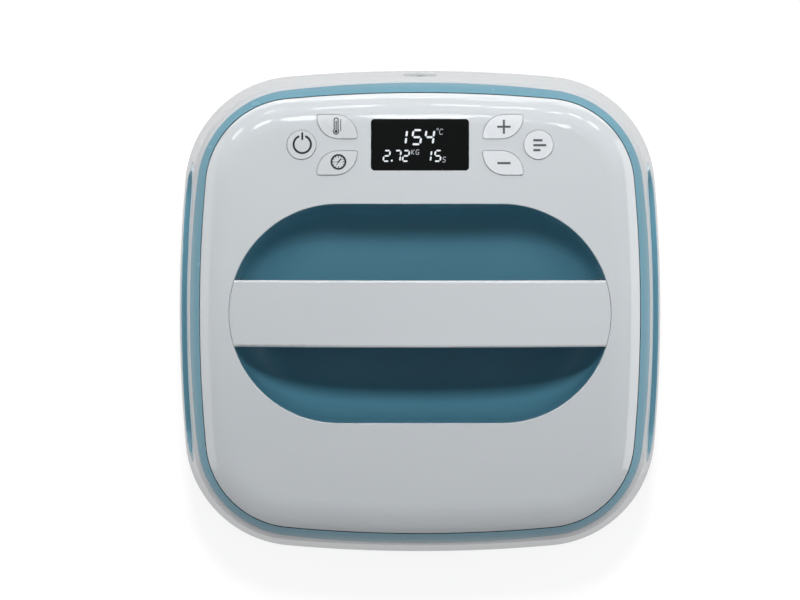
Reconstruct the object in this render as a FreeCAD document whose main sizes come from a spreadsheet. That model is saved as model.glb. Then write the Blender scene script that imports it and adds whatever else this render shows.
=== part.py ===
"""A handheld heat press: a crowned square body over a flat heated plate, lifted by a bar handle.

The origin is the middle of the pressing face, +Z is up and +Y points to the display.
Lengths are millimetres and angles are degrees.
"""
import FreeCAD, Part

import math
import os
import re

import Sketcher
from FreeCAD import Placement, Rotation, Vector

# Every size that can be set by itself, with what it measures.
SIZES = [
    # the crowned, drafted body that every outer piece is cut from
    ("body_width", 290, "width and depth of the body at its foot"),
    ("side_radius", 900, "bow of each side seen from above"),
    ("corner_radius", 67.7, "corners seen from above"),
    ("skirt_foot", 6, "height of the skirt above the work"),
    ("draft_angle", 7.5, "lean of the sides"),
    ("shoulder_radius", 30, "round between the side and the crown"),
    ("crown_top", 92, "height of the crown's highest point"),
    ("crown_radius", 835, "ball that the crown is part of"),
    ("housing_wall", 2.5, "moulded wall"),
    ("fit_gap", 0.3, "gap between pieces that seat in each other"),
    ("cut_spare", 12, "how far a cut runs past what it cuts"),
    ("crown_sweep", 60, "turn of the crown's cut about its centre"),
    # accent ring
    ("ring_drop", 26.2, "lower edge of the band below the crown's top"),
    ("ring_shadow", 0.5, "open line between the band and the cover"),
    ("cover_inset", 15.2, "edge of the cover, inside the body's foot"),
    ("edge_round", 0.6, "rounded edges of the cover"),
    ("tongue_wall", 1.5, "wall of the tongue behind the band"),
    ("tongue_drop", 2.8, "tongue below the band"),
    ("tongue_reach", 2.5, "tongue under the cover's edge"),
    # deck across the lower housing
    ("deck_bottom", 30, "underside of the deck"),
    ("deck_wall", 2.5, "deck"),
    # pocket under the handle
    ("pocket_half_length", 112.4, "mouth of the pocket, along X"),
    ("pocket_half_width", 64.3, "mouth of the pocket, along Y"),
    ("finger_room", 14, "room between the pocket's floor and the ends of the bar"),
    ("pocket_draft", 8, "lean of the pocket's wall"),
    ("pocket_radius", 28, "round between the wall and the floor"),
    ("liner_wall", 2.5, "wall of the liner"),
    ("liner_flange", 6, "liner's flange under the cover"),
    ("flange_wall", 1.8, "flanges under the cover"),
    # handle
    ("handle_gap", 0.2, "gap between the bar's ends and the cover"),
    ("handle_half_width", 19.6, "half of the bar's width"),
    ("bar_end_drop", 7.4, "ends of the bar below the crown's top"),
    ("bar_top_rise", 21.3, "rise of the bar's top from its ends to its middle"),
    ("bar_end_depth", 24.6, "depth of the bar at its ends"),
    ("bar_under_rise", 24, "rise of the bar's underside from its ends to its middle"),
    ("split_end_depth", 10.3, "upper half's depth, over the body's sides"),
    ("split_middle_depth", 8.9, "upper half's depth at the middle"),
    ("bar_edge_radius", 1.6, "rounded long edges of the bar"),
    ("handle_wall", 2.5, "wall of both halves"),
    ("strap_wall", 3, "steel strap"),
    ("strap_half_width", 9, "half of the strap's width"),
    ("strap_depth", 13.9, "underside of the strap below the bar's top, at the middle"),
    ("strap_tab_lift", 6, "strap's tabs above the bar's underside, at its ends"),
    ("strap_tab_inside", 6.4, "where a tab starts, before the bar's end"),
    ("strap_tab_outside", 16.1, "end of a tab, past the bar's end"),
    ("strap_post_gap", 2.6, "post under a tab, past the bar's end"),
    ("handle_screw_spread", 5, "screws of a tab, from its centre line"),
    ("rib_spread", 52, "outer ribs of the handle, from the middle"),
    ("rib_wall", 2, "ribs"),
    # side grips
    ("grip_half_length", 89, "half of a side grip's length"),
    ("grip_half_height", 22, "half of a side grip's height"),
    ("grip_centre_height", 38, "middle of a side grip"),
    ("grip_rim", 3, "rim round the scoop"),
    ("scoop_depth", 13, "floor of the scoop, inside the body's foot"),
    ("scoop_draft", 14, "lean of the scoop's wall"),
    ("scoop_radius", 5, "round at the floor of the scoop"),
    ("grip_wall", 2.4, "wall behind the scoop"),
    ("grip_flange", 2.5, "grip's flange inside the skirt"),
    # display and keys
    ("panel_inset", 45.85, "display and round keys, before the rear of the body's foot"),
    ("window_half_width", 28.65, "half of the display window's width"),
    ("window_half_depth", 15, "half of the display window's depth"),
    ("window_corner", 2, "corners of the display window"),
    ("window_recess", 0.25, "window below the crown"),
    ("window_flange", 1.6, "window's flange under the cover"),
    ("window_depth", 12.6, "flat back of the window, below the crown's top"),
    ("window_gap", 0.2, "gap round the window"),
    ("round_key_radius", 8.6, "power and preset keys"),
    ("round_key_place", 69.7, "power and preset keys, from the middle"),
    ("leaf_key_place", 48.75, "leaf keys, from the middle"),
    ("leaf_half_width", 11.8, "half of a leaf key's width"),
    ("leaf_half_depth", 7.15, "half of a leaf key's depth"),
    ("leaf_round", 12.8, "two round corners of a leaf key"),
    ("leaf_point", 1.2, "two pointed corners of a leaf key"),
    ("rear_leaf_shift", 10.65, "rear leaf keys, behind the display's middle"),
    ("front_leaf_shift", 10.65, "front leaf keys, before the display's middle"),
    ("key_gap", 0.3, "gap round a key"),
    ("key_proud", 0.6, "key above the crown"),
    ("key_round", 0.4, "rounded upper edge of a key"),
    ("key_flange", 1.2, "key's flange under the cover"),
    ("key_depth", 17.5, "flat underside of the keys, below the crown's top"),
    ("dome_height", 8.9, "silicone dome"),
    ("dome_foot_radius", 4.6, "silicone dome at the board"),
    ("dome_tip_radius", 2.6, "silicone dome under the key"),
    # boards and what they carry
    ("board_wall", 1.6, "circuit boards"),
    ("control_half_width", 86, "half of the control board's width"),
    ("control_depth", 48, "depth of the control board"),
    ("control_corner", 4, "corners of the circuit boards"),
    ("control_post_inset", 6, "control board's posts, from its edges"),
    ("control_post_pitch", 30, "control board's posts, front to rear"),
    ("post_radius", 3.2, "posts that carry the boards"),
    ("module_margin", 2.6, "display module inside the window's outline"),
    ("chip_height", 2, "chips under the control board"),
    ("main_chip_place", 12, "main chip, from the middle"),
    ("main_chip_side", 12, "main chip"),
    ("driver_chip_place", 36, "driver chip, from the middle"),
    ("driver_chip_width", 17, "driver chip"),
    ("driver_chip_depth", 7, "driver chip"),
    ("regulator_place", 55, "regulator, from the middle"),
    ("regulator_width", 7, "regulator"),
    ("regulator_depth", 9.6, "regulator"),
    ("buzzer_place", 12, "buzzer, from the middle"),
    ("buzzer_radius", 6, "buzzer"),
    ("buzzer_height", 7, "buzzer"),
    ("switch_place", 12, "tilt switch, from the middle"),
    ("switch_shift", 15.6, "tilt switch, behind the display's middle"),
    ("switch_height", 6, "tilt switch"),
    ("switch_side", 7, "tilt switch"),
    ("power_left", -98, "left edge of the power board"),
    ("power_width", 80, "width of the power board"),
    ("power_depth", 46, "depth of the power board"),
    ("power_lift", 5.5, "power board above the deck"),
    ("power_post_inset", 5, "power board's posts, from its edges"),
    ("core_width", 34, "transformer's core"),
    ("core_depth", 22.7, "transformer's core"),
    ("core_height", 21, "transformer's core"),
    ("coil_width", 20.4, "transformer's coil"),
    ("coil_depth", 28.6, "transformer's coil"),
    ("coil_margin", 3.2, "transformer's coil below the top of the core and above its foot"),
    ("relay_margin", 3, "relay, from the power board's left edge"),
    ("relay_width", 20, "relay"),
    ("relay_depth", 16, "relay"),
    ("relay_height", 16, "relay"),
    ("capacitor_radius", 6, "smoothing capacitor"),
    ("capacitor_height", 19, "smoothing capacitor"),
    # cord gland, terminals and clamp
    ("gland_height", 32, "middle of the gland"),
    ("gland_radius", 9.5, "gland through the skirt"),
    ("gland_flange", 3, "gland's flange behind the skirt"),
    ("gland_length", 11.5, "gland along the cord, from the foot of the skirt"),
    ("cord_radius", 3.6, "bore of the gland"),
    ("clamp_inset", 39, "cord clamp, before the rear of the body's foot"),
    ("clamp_width", 10, "cord clamp along the cord"),
    ("clamp_half_length", 13, "half of the clamp across the cord"),
    ("clamp_height", 9, "clamp above the deck"),
    ("clamp_corner", 2.5, "corners of the clamp"),
    ("clamp_screw_spread", 9, "clamp's screws, from the cord"),
    ("terminal_place", 40, "terminal block, from the middle"),
    ("terminal_width", 32, "terminal block"),
    ("terminal_height", 13, "terminal block"),
    ("well_radius", 3.2, "wells over the terminals' screws"),
    ("well_depth", 6.5, "wells over the terminals' screws"),
    # plate and what lies on it
    ("plate_width", 254, "pressing plate across the flats"),
    ("plate_height", 9, "pressing plate"),
    ("plate_edge_radius", 1.5, "lower edge of the plate"),
    ("frame_gap", 1.5, "gap round the plate"),
    ("frame_foot", 4, "underside of the rim round the plate"),
    ("frame_height", 6, "rim round the plate"),
    ("element_radius", 3.2, "heating element"),
    ("element_rows", 6, "rows of the heating element"),
    ("element_pitch", 36, "rows of the heating element"),
    ("element_half_run", 62, "half of a straight row"),
    ("element_gap", 0.1, "element in its groove"),
    ("terminal_rise", 13, "element's ends above the plate"),
    ("mat_inset", 5, "mat inside the plate's edge"),
    ("mat_height", 6, "insulation mat"),
    ("shield_wall", 1, "heat shield"),
    ("shield_rim", 4.5, "rim of the heat shield"),
    ("standoff_inset", 39, "plate's standoffs, inside the plate's sides"),
    ("standoff_radius", 6, "standoff below its shoulder"),
    ("standoff_neck", 4, "standoff above its shoulder"),
    ("cell_side", 34, "load cell"),
    ("cell_bottom", 22, "underside of the load cells"),
    ("cell_wall", 3, "load cell's spring plate"),
    ("cell_pad", 6, "load cell's mounting bars"),
    ("cell_slot", 2.5, "slot round a cell's tongue"),
    ("cell_tongue", 14, "width of a cell's tongue"),
    ("cell_screw_spread", 8.5, "load cell's screws, from its middle"),
    ("thermostat_radius", 8, "thermostat"),
    ("thermostat_height", 8.5, "thermostat"),
    ("sensor_length", 12, "temperature sensor"),
    ("sensor_width", 6, "temperature sensor"),
    ("sensor_height", 3, "temperature sensor"),
    ("sensor_place", 30, "temperature sensor, from the middle"),
    # screws and the posts that take them
    ("boss_radius", 5, "posts for the housing's screws"),
    ("boss_split_drop", 5.8, "meeting of a cover post and a housing post, below the band"),
    ("corner_boss_side", 39, "corner posts, inside the sides of the body's foot"),
    ("corner_boss_end", 63, "corner posts, inside the front and rear of the body's foot"),
    ("front_boss_across", 44, "front middle posts, along X"),
    ("front_boss_inset", 37, "front middle posts, behind the front of the body's foot"),
    ("screw_radius", 2, "shank of a large screw"),
    ("screw_head_radius", 3.8, "head of a large screw"),
    ("screw_head_height", 2.6, "head of a large screw"),
    ("screw_bite", 9, "large screw's grip in a post"),
    ("small_screw_radius", 1.4, "shank of a small screw"),
    ("small_head_radius", 2.7, "head of a small screw"),
    ("small_head_height", 1.8, "head of a small screw"),
    ("small_screw_bite", 6, "small screw's grip in a post"),
    ("screw_gap", 0.1, "room round a shank"),
    ("frame_post_inset", 9.8, "posts for the rim, inside the body's foot"),
    ("frame_post_across", 50, "edge posts for the rim, along X"),
    ("frame_post_radius", 4, "posts for the rim"),
    ("liner_leg_across", 50, "legs under the pocket, along X"),
    ("liner_leg_along", 28, "legs under the pocket, along Y"),
]

# Places that follow from the sizes.
PLACES = [
    ("half_width", "body_width / 2"),
    ("side_centre", "half_width - side_radius"),
    ("corner_centre", "(side_centre + sqrt(2 * (side_radius - corner_radius)^2 - side_centre^2)) / 2"),
    ("blank_height", "crown_top + cut_spare"),
    ("bar_top_end", "crown_top - bar_end_drop"),
    ("bar_top_middle", "bar_top_end + bar_top_rise"),
    ("bar_under_end", "bar_top_end - bar_end_depth"),
    ("bar_under_middle", "bar_under_end + bar_under_rise"),
    ("bar_split_end", "bar_top_end - split_end_depth"),
    ("bar_split_middle", "bar_top_middle - split_middle_depth"),
    ("handle_half_length", "pocket_half_length - handle_gap"),
    ("strap_middle", "bar_top_middle - strap_depth"),
    ("strap_tab_height", "bar_under_end + strap_tab_lift"),
    ("strap_tab_start", "handle_half_length - strap_tab_inside"),
    ("strap_tab_end", "handle_half_length + strap_tab_outside"),
    ("strap_post_start", "handle_half_length + strap_post_gap"),
    ("handle_screw_place", "(strap_post_start + strap_tab_end) / 2"),
    ("pocket_floor", "bar_under_end - finger_room"),
    ("ring_bottom", "crown_top - ring_drop"),
    ("boss_split", "ring_bottom - boss_split_drop"),
    ("skirt_top", "ring_bottom - fit_gap"),
    ("deck_top", "deck_bottom + deck_wall"),
    ("under_cover", "housing_wall + fit_gap"),
    ("key_top_inset", "0 - key_proud"),
    ("flange_inside", "under_cover + flange_wall"),
    ("tongue_inside", "under_cover + tongue_wall"),
    ("panel_centre", "half_width - panel_inset"),
    ("rear_leaf_centre", "panel_centre + rear_leaf_shift"),
    ("front_leaf_centre", "panel_centre - front_leaf_shift"),
    ("window_back", "crown_top - window_depth"),
    ("key_foot", "crown_top - key_depth"),
    ("board_top", "key_foot - dome_height"),
    ("control_board_height", "board_top - board_wall"),
    ("control_front", "panel_centre - control_depth / 2"),
    ("control_rear", "control_front + control_depth"),
    ("control_post_place", "control_half_width - control_post_inset"),
    ("module_half_width", "window_half_width - module_margin"),
    ("module_half_depth", "window_half_depth - module_margin"),
    ("power_front", "panel_centre - power_depth / 2"),
    ("power_under", "deck_top + power_lift"),
    ("power_top", "power_under + board_wall"),
    ("plate_inset", "(body_width - plate_width) / 2"),
    ("frame_post_corner", "corner_centre + (corner_radius - frame_post_inset) / sqrt(2)"),
    ("frame_post_along", "half_width - frame_post_inset"),
    ("frame_outer_inset", "under_cover + (frame_foot + frame_height - skirt_foot) * tan(draft_angle)"),
    ("frame_inner_inset", "plate_inset - frame_gap"),
    ("frame_top", "frame_foot + frame_height"),
    ("element_top", "plate_height + element_radius"),
    ("mat_bottom", "element_top + fit_gap"),
    ("mat_top", "mat_bottom + mat_height"),
    ("mat_outline", "plate_inset + mat_inset"),
    ("shield_under", "mat_top + fit_gap"),
    ("shield_top", "shield_under + shield_wall"),
    ("shield_outline", "mat_outline - fit_gap - shield_wall"),
    ("cell_top", "cell_bottom + cell_wall"),
    ("standoff_place", "plate_width / 2 - standoff_inset"),
    ("strap_tab_top", "strap_tab_height + strap_wall"),
    ("pocket_straight", "pocket_half_length - pocket_half_width"),
    ("grip_straight", "grip_half_length - grip_half_height"),
    ("scoop_floor", "half_width - scoop_depth"),
    ("grip_back", "scoop_floor - grip_wall"),
    ("gland_inner", "half_width - gland_length"),
    ("clamp_place", "half_width - clamp_inset"),
    ("corner_boss_across", "half_width - corner_boss_side"),
    ("corner_boss_along", "half_width - corner_boss_end"),
    ("front_boss_along", "half_width - front_boss_inset"),
    ("row_last", "(element_rows - 1) / 2 * element_pitch"),
]

NEAR = 0.01  # lengths that differ by less are the same

doc = FreeCAD.newDocument("HeatPress")
home = {}


def fill_sheet(name, rows):
    """Write one row for each value, with its name as the cell's alias."""
    sheet = doc.addObject("Spreadsheet::Sheet", name)
    for line, (alias, value, *note) in enumerate(rows, 1):
        sheet.set(f"A{line}", alias)
        sheet.set(f"B{line}", "=" + formula(value) if isinstance(value, str) else str(value))
        sheet.setAlias(f"B{line}", alias)
        sheet.set(f"C{line}", " ".join(note))
        home[alias] = name
    return sheet


def formula(text):
    """Say in which sheet each named value of a sum is."""
    return re.sub(r"[a-z]+(_[a-z]+)+", lambda word: f"{home[word.group()]}.{word.group()}", text)


sizes = fill_sheet("Sizes", SIZES)
places = fill_sheet("Places", PLACES)
workings = doc.addObject("Spreadsheet::Sheet", "Workings")
doc.recompute()


def number(text):
    """Work a sum of named values out."""
    workings.set("A1", "=" + formula(text))
    workings.recompute()
    return float(workings.get("A1"))


def bind(thing, **sums):
    """Tie properties of a document object to sums of named values."""
    for name, text in sums.items():
        thing.setExpression(name, formula(text))
    return thing


def stand(thing, across="0", along="0", height="0"):
    """Tie the place of a document object to sums of named values."""
    for axis, text in zip("xyz", (across, along, height)):
        thing.setExpression(f"Placement.Base.{axis}", formula(text))
    return thing


def negative(text):
    return f"0 - ({text})"


# ---- solids made of primitives ----------------------------------------------------------------

def box(name, left, right, front, rear, bottom, top):
    """A block between six planes."""
    block = doc.addObject("Part::Box", name)
    bind(block, Length=f"({right}) - ({left})", Width=f"({rear}) - ({front})",
         Height=f"({top}) - ({bottom})")
    return stand(block, left, front, bottom)


def pillar(name, across, along, bottom, top, radius):
    """An upright round post."""
    post = bind(doc.addObject("Part::Cylinder", name), Radius=radius, Height=f"({top}) - ({bottom})")
    return stand(post, across, along, bottom)


def lying_rod(name, across, along, height, length, radius, direction):
    """A round rod that starts at a point and lies along X or Y."""
    rod = bind(doc.addObject("Part::Cylinder", name), Radius=radius, Height=length)
    rod.Placement = Placement(Vector(), Rotation(Vector(0, 0, 1), direction))
    return stand(rod, across, along, height)


def fuse(name, *things):
    """Join solids into one."""
    joined = doc.addObject("Part::MultiFuse", name)
    joined.Shapes = list(things)
    return joined


def cut(name, base, *tools):
    """Take solids away from a base."""
    result = doc.addObject("Part::Cut", name)
    result.Base = base
    result.Tool = tools[0] if len(tools) == 1 else fuse(name + "_tools", *tools)
    return result


def common(name, *things):
    """Keep what solids share."""
    shared = doc.addObject("Part::MultiCommon", name)
    shared.Shapes = list(things)
    return shared


def group(name, *things):
    """Keep separate solids together in one piece of the list."""
    bundle = doc.addObject("Part::Compound", name)
    bundle.Links = list(things)
    return bundle


def mirrored(name, thing):
    """The same solid on the other side of the middle, across X."""
    flip = doc.addObject("Part::Mirroring", name)
    flip.Source = thing
    flip.Normal = Vector(1, 0, 0)
    return flip


# ---- solids made of sketches ------------------------------------------------------------------

def new_body(name):
    return doc.addObject("PartDesign::Body", name)


def new_sketch(body, role, lift="0"):
    """An empty sketch on one of the body's own origin planes, lifted along the plane's normal."""
    sketch = body.newObject("Sketcher::SketchObject", body.Name + "_sketch")
    plane = next(item for item in body.Origin.OriginFeatures if item.Role == role)
    sketch.AttachmentSupport = [(plane, "")]
    sketch.MapMode = "FlatFace"
    sketch.setExpression("AttachmentOffset.Base.z", formula(lift))
    return sketch


def dimension(sketch, kind, ends, text):
    """Add a dimension that follows a sum of named values."""
    index = sketch.addConstraint(Sketcher.Constraint(kind, *ends, number(text)))
    sketch.setExpression(f"Constraints[{index}]", formula(text))


def rectangle(sketch, left, right, front, rear):
    """Draw a rectangle between four lines."""
    x_low, x_high, y_low, y_high = (number(side) for side in (left, right, front, rear))
    corners = [Vector(x_low, y_low), Vector(x_high, y_low), Vector(x_high, y_high), Vector(x_low, y_high)]
    sides = [sketch.addGeometry(Part.LineSegment(corners[i], corners[(i + 1) % 4])) for i in range(4)]
    for i in range(4):
        sketch.addConstraint(Sketcher.Constraint("Coincident", sides[i], 2, sides[(i + 1) % 4], 1))
        sketch.addConstraint(Sketcher.Constraint("Horizontal" if i % 2 == 0 else "Vertical", sides[i]))
    dimension(sketch, "DistanceX", (sides[0], 1), left)
    dimension(sketch, "DistanceX", (sides[1], 1), right)
    dimension(sketch, "DistanceY", (sides[0], 1), front)
    dimension(sketch, "DistanceY", (sides[2], 1), rear)


def arc(sketch, centre, radius, start, end):
    """Add an arc between two angles, in radians."""
    circle = Part.Circle(centre, Vector(0, 0, 1), radius)
    return sketch.addGeometry(Part.ArcOfCircle(circle, start, end))


def stadium(sketch, straight, radius, height="0"):
    """Draw a slot outline: two straight sides and two half-round ends."""
    reach, bend, rise = number(straight), number(radius), number(height)
    quarter = math.pi / 2
    right = arc(sketch, Vector(reach, rise), bend, -quarter, quarter)
    left = arc(sketch, Vector(-reach, rise), bend, quarter, 3 * quarter)
    top = sketch.addGeometry(Part.LineSegment(Vector(reach, rise + bend), Vector(-reach, rise + bend)))
    low = sketch.addGeometry(Part.LineSegment(Vector(-reach, rise - bend), Vector(reach, rise - bend)))
    for first, first_end, second, second_end in ((right, 2, top, 1), (top, 2, left, 1),
                                                 (left, 2, low, 1), (low, 2, right, 1)):
        sketch.addConstraint(Sketcher.Constraint("Tangent", first, first_end, second, second_end))
    sketch.addConstraint(Sketcher.Constraint("Equal", right, left))
    dimension(sketch, "Radius", (right,), radius)
    dimension(sketch, "DistanceX", (right, 3), straight)
    dimension(sketch, "DistanceX", (left, 3), negative(straight))
    dimension(sketch, "DistanceY", (right, 3), height)
    dimension(sketch, "DistanceY", (left, 3), height)


def pillow_outline(sketch, inset):
    """Draw the bowed square with round corners, moved in by an inset."""
    side = number(f"side_radius - ({inset})")
    corner = number(f"corner_radius - ({inset})")
    side_centre, spread = number("side_centre"), number("corner_centre")
    # the corner's centre lies on the diagonal, one difference of radii from the side's centre
    swing = math.atan2(spread, spread - side_centre)
    sides = []
    for quarter in range(4):
        turn = Rotation(Vector(0, 0, 1), 90 * quarter)
        start = quarter * math.pi / 2
        sides.append(arc(sketch, turn.multVec(Vector(side_centre, 0)), side, start - swing, start + swing))
        sides.append(arc(sketch, turn.multVec(Vector(spread, spread)), corner,
                         start + swing, start + math.pi / 2 - swing))
    for i in range(8):
        sketch.addConstraint(Sketcher.Constraint("Tangent", sides[i], 2, sides[(i + 1) % 8], 1))
    for i in (2, 4, 6):
        sketch.addConstraint(Sketcher.Constraint("Equal", sides[0], sides[i]))
        sketch.addConstraint(Sketcher.Constraint("Equal", sides[1], sides[i + 1]))
    for i, axis in ((0, -1), (4, -1), (2, -2), (6, -2)):
        sketch.addConstraint(Sketcher.Constraint("PointOnObject", sides[i], 3, axis))
    dimension(sketch, "Radius", (sides[0],), f"side_radius - ({inset})")
    dimension(sketch, "Radius", (sides[1],), f"corner_radius - ({inset})")
    dimension(sketch, "DistanceX", (sides[0], 3), "half_width - side_radius")
    dimension(sketch, "DistanceX", (sides[4], 3), "side_radius - half_width")
    dimension(sketch, "DistanceY", (sides[2], 3), "half_width - side_radius")
    dimension(sketch, "DistanceY", (sides[6], 3), "side_radius - half_width")


def pad(body, sketch, height, draft="0"):
    """Raise a sketch; a draft makes the solid narrower as it rises."""
    feature = body.newObject("PartDesign::Pad", body.Name + "_pad")
    feature.Profile = sketch
    bind(feature, Length=height, TaperAngle=negative(draft))
    doc.recompute()
    return feature


def round_edges(body, base, radius, wanted):
    """Round the edges of a feature that a test picks out."""
    names = [f"Edge{i}" for i, edge in enumerate(base.Shape.Edges, 1) if wanted(edge)]
    feature = body.newObject("PartDesign::Fillet", body.Name + "_round")
    feature.Base = (base, names)
    bind(feature, Radius=radius)
    doc.recompute()
    return feature


def pillow(name, inset):
    """The whole body as one solid, with every face moved in by an inset."""
    body = new_body(name)
    outline = new_sketch(body, "XY_Plane", "skirt_foot")
    pillow_outline(outline, inset)
    blank = pad(body, outline, "blank_height - skirt_foot", "draft_angle")
    above = new_sketch(body, "XZ_Plane")
    top, ball = number(f"crown_top - ({inset})"), number(f"crown_radius - ({inset})")
    reach, ceiling = number("half_width + cut_spare"), number("blank_height + cut_spare")
    swing = math.asin(reach / ball)
    crown = arc(above, Vector(0, top - ball), ball, math.pi / 2 - swing, math.pi / 2 + swing)
    edge = top - ball + ball * math.cos(swing)
    corners = [Vector(-reach, edge), Vector(-reach, ceiling), Vector(reach, ceiling), Vector(reach, edge)]
    lines = [above.addGeometry(Part.LineSegment(corners[i], corners[i + 1])) for i in range(3)]
    axle = above.addGeometry(Part.LineSegment(Vector(-reach, top - ball), Vector(reach, top - ball)), True)
    loop = [crown, *lines]
    for i in range(4):
        above.addConstraint(Sketcher.Constraint("Coincident", loop[i], 2, loop[(i + 1) % 4], 1))
    above.addConstraint(Sketcher.Constraint("PointOnObject", crown, 3, -2))
    above.addConstraint(Sketcher.Constraint("PointOnObject", crown, 3, axle))
    for line, direction in zip((*lines, axle), ("Vertical", "Horizontal", "Vertical", "Horizontal")):
        above.addConstraint(Sketcher.Constraint(direction, line))
    dimension(above, "Radius", (crown,), f"crown_radius - ({inset})")
    dimension(above, "DistanceY", (crown, 3), "crown_top - crown_radius")
    dimension(above, "DistanceY", (lines[1], 2), "blank_height + cut_spare")
    for line in (lines[1], axle):
        dimension(above, "DistanceX", (line, 1), negative("half_width + cut_spare"))
        dimension(above, "DistanceX", (line, 2), "half_width + cut_spare")
    doc.recompute()
    groove = body.newObject("PartDesign::Groove", name + "_crown")
    groove.Profile = above
    groove.ReferenceAxis = (above, ["Axis0"])
    groove.Midplane = True
    bind(groove, Angle="crown_sweep")
    doc.recompute()
    if groove.Shape.Volume > 0.95 * blank.Shape.Volume:
        raise RuntimeError(f"{name}: the crown was not cut")
    rim = number("(skirt_foot + crown_top) / 2")
    round_edges(body, groove, f"shoulder_radius - ({inset})", lambda item: item.BoundBox.ZMin > rim)
    return body


def slab(name, inset, bottom, height):
    """A flat plate with the outline of the body, moved in by an inset."""
    body = new_body(name)
    outline = new_sketch(body, "XY_Plane", bottom)
    pillow_outline(outline, inset)
    pad(body, outline, height)
    return body


def upright_at(edge, spots):
    """Tell whether an edge stands upright at one of some points."""
    middle = edge.BoundBox.Center
    foot = Vector(middle.x, middle.y)
    return edge.BoundBox.ZLength > NEAR and any(foot.distanceToPoint(spot) < NEAR for spot in spots)


def round_block(name, left, right, front, rear, bottom, height, corners):
    """An upright block with one radius for each corner, from left front round to left rear."""
    body = new_body(name)
    outline = new_sketch(body, "XY_Plane", bottom)
    rectangle(outline, left, right, front, rear)
    feature = pad(body, outline, height)
    spots = [Vector(number(x), number(y))
             for x, y in ((left, front), (right, front), (right, rear), (left, rear))]
    for radius in sorted(set(corners)):
        chosen = [spot for spot, value in zip(spots, corners) if value == radius]
        feature = round_edges(body, feature, radius, lambda edge: upright_at(edge, chosen))
    return body


def slot_block(name, role, straight, radius, lift, height, draft="0", floor_round=None, rise="0",
               inwards=False):
    """A block with a slot outline, which a draft narrows and a round may finish at its far face."""
    body = new_body(name)
    outline = new_sketch(body, role, lift)
    stadium(outline, straight, radius, rise)
    feature = pad(body, outline, height, draft)
    feature.Reversed = inwards
    doc.recompute()
    if floor_round:
        axis = Vector(0, 0, 1) if role == "XY_Plane" else Vector(1, 0, 0)
        depths = [edge.BoundBox.Center.dot(axis) for edge in feature.Shape.Edges]
        end = min(depths) if inwards else max(depths)
        round_edges(body, feature, floor_round,
                    lambda edge: abs(edge.BoundBox.Center.dot(axis) - end) < NEAR)
    return body


def arch_block(name, reach, half_across, over, under, edge_round=None):
    """A bar along X between two arches; each arch is its height at the ends and at the middle."""
    body = new_body(name)
    side = new_sketch(body, "XZ_Plane", negative(half_across))
    far = number(reach)
    arches = []
    for end, middle in (over, under):
        rise = f"(({middle}) - ({end}))"
        radius = f"((({reach})^2 + {rise}^2) / (2 * {rise}))"
        bend, centre = number(radius), Vector(0, number(f"({middle}) - {radius}"))
        start = math.atan2(number(end) - centre.y, far)
        arch = arc(side, centre, bend, start, math.pi - start)
        side.addConstraint(Sketcher.Constraint("PointOnObject", arch, 3, -2))
        arches.append((arch, radius, middle))
    right = side.addGeometry(Part.LineSegment(Vector(far, number(under[0])), Vector(far, number(over[0]))))
    left = side.addGeometry(Part.LineSegment(Vector(-far, number(over[0])), Vector(-far, number(under[0]))))
    top, low = arches[0][0], arches[1][0]
    for first, first_end, second, second_end in ((right, 2, top, 1), (top, 2, left, 1),
                                                 (left, 2, low, 2), (low, 1, right, 1)):
        side.addConstraint(Sketcher.Constraint("Coincident", first, first_end, second, second_end))
    side.addConstraint(Sketcher.Constraint("Vertical", right))
    side.addConstraint(Sketcher.Constraint("Vertical", left))
    dimension(side, "DistanceX", (right, 1), reach)
    dimension(side, "DistanceX", (left, 1), negative(reach))
    for arch, radius, middle in arches:
        dimension(side, "Radius", (arch,), radius)
        dimension(side, "DistanceY", (arch, 3), f"({middle}) - {radius}")
    feature = pad(body, side, f"2 * ({half_across})")
    if edge_round:
        round_edges(body, feature, edge_round,
                    lambda edge: edge.BoundBox.XLength > far and edge.BoundBox.YLength < NEAR)
    return body


def softened(name, thing, radius, outer_form):
    """The same solid with a round wherever an upright face meets the outer form."""
    doc.recompute()
    body = new_body(name)
    body.BaseFeature = thing
    doc.recompute()
    base, outer = body.Group[0], outer_form.Shape.Shells[0]
    upright = [face for face in base.Shape.Faces
               if abs(face.normalAt(*face.Surface.parameter(face.CenterOfMass)).z) < NEAR]
    rims = [edge for face in upright for edge in face.Edges
            if outer.distToShape(Part.Vertex(edge.discretize(3)[1]))[0] < NEAR]
    round_edges(body, base, radius, lambda edge: any(edge.isSame(rim) for rim in rims))
    return body


def screw(name, across, along, height, length, upwards, large=False):
    """A round-headed screw; height is where its head bears."""
    radius, head, head_height = (("screw_radius", "screw_head_radius", "screw_head_height") if large else
                                 ("small_screw_radius", "small_head_radius", "small_head_height"))
    if upwards:
        shank = pillar(name + "_shank", across, along, height, f"({height}) + ({length})", radius)
        top = pillar(name + "_head", across, along, f"({height}) - {head_height}", height, head)
    else:
        shank = pillar(name + "_shank", across, along, f"({height}) - ({length})", height, radius)
        top = pillar(name + "_head", across, along, height, f"({height}) + {head_height}", head)
    return fuse(name, shank, top)


def hole(name, across, along, bottom, top, large=False):
    """The room for a screw's shank."""
    radius = "screw_radius + screw_gap" if large else "small_screw_radius + screw_gap"
    return pillar(name, across, along, bottom, top, radius)


def four(across, along):
    """The four places that are alike on both sides of both middles."""
    return [(f"{x}{across}", f"{y}{along}") for x in ("", "-") for y in ("", "-")]


pieces = {}


def piece(name, thing):
    """Give the finished piece its label and put it on the list."""
    thing.Label = name
    pieces[name] = thing
    return thing


# ---- the body's form, moved in step by step -----------------------------------------------------

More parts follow.
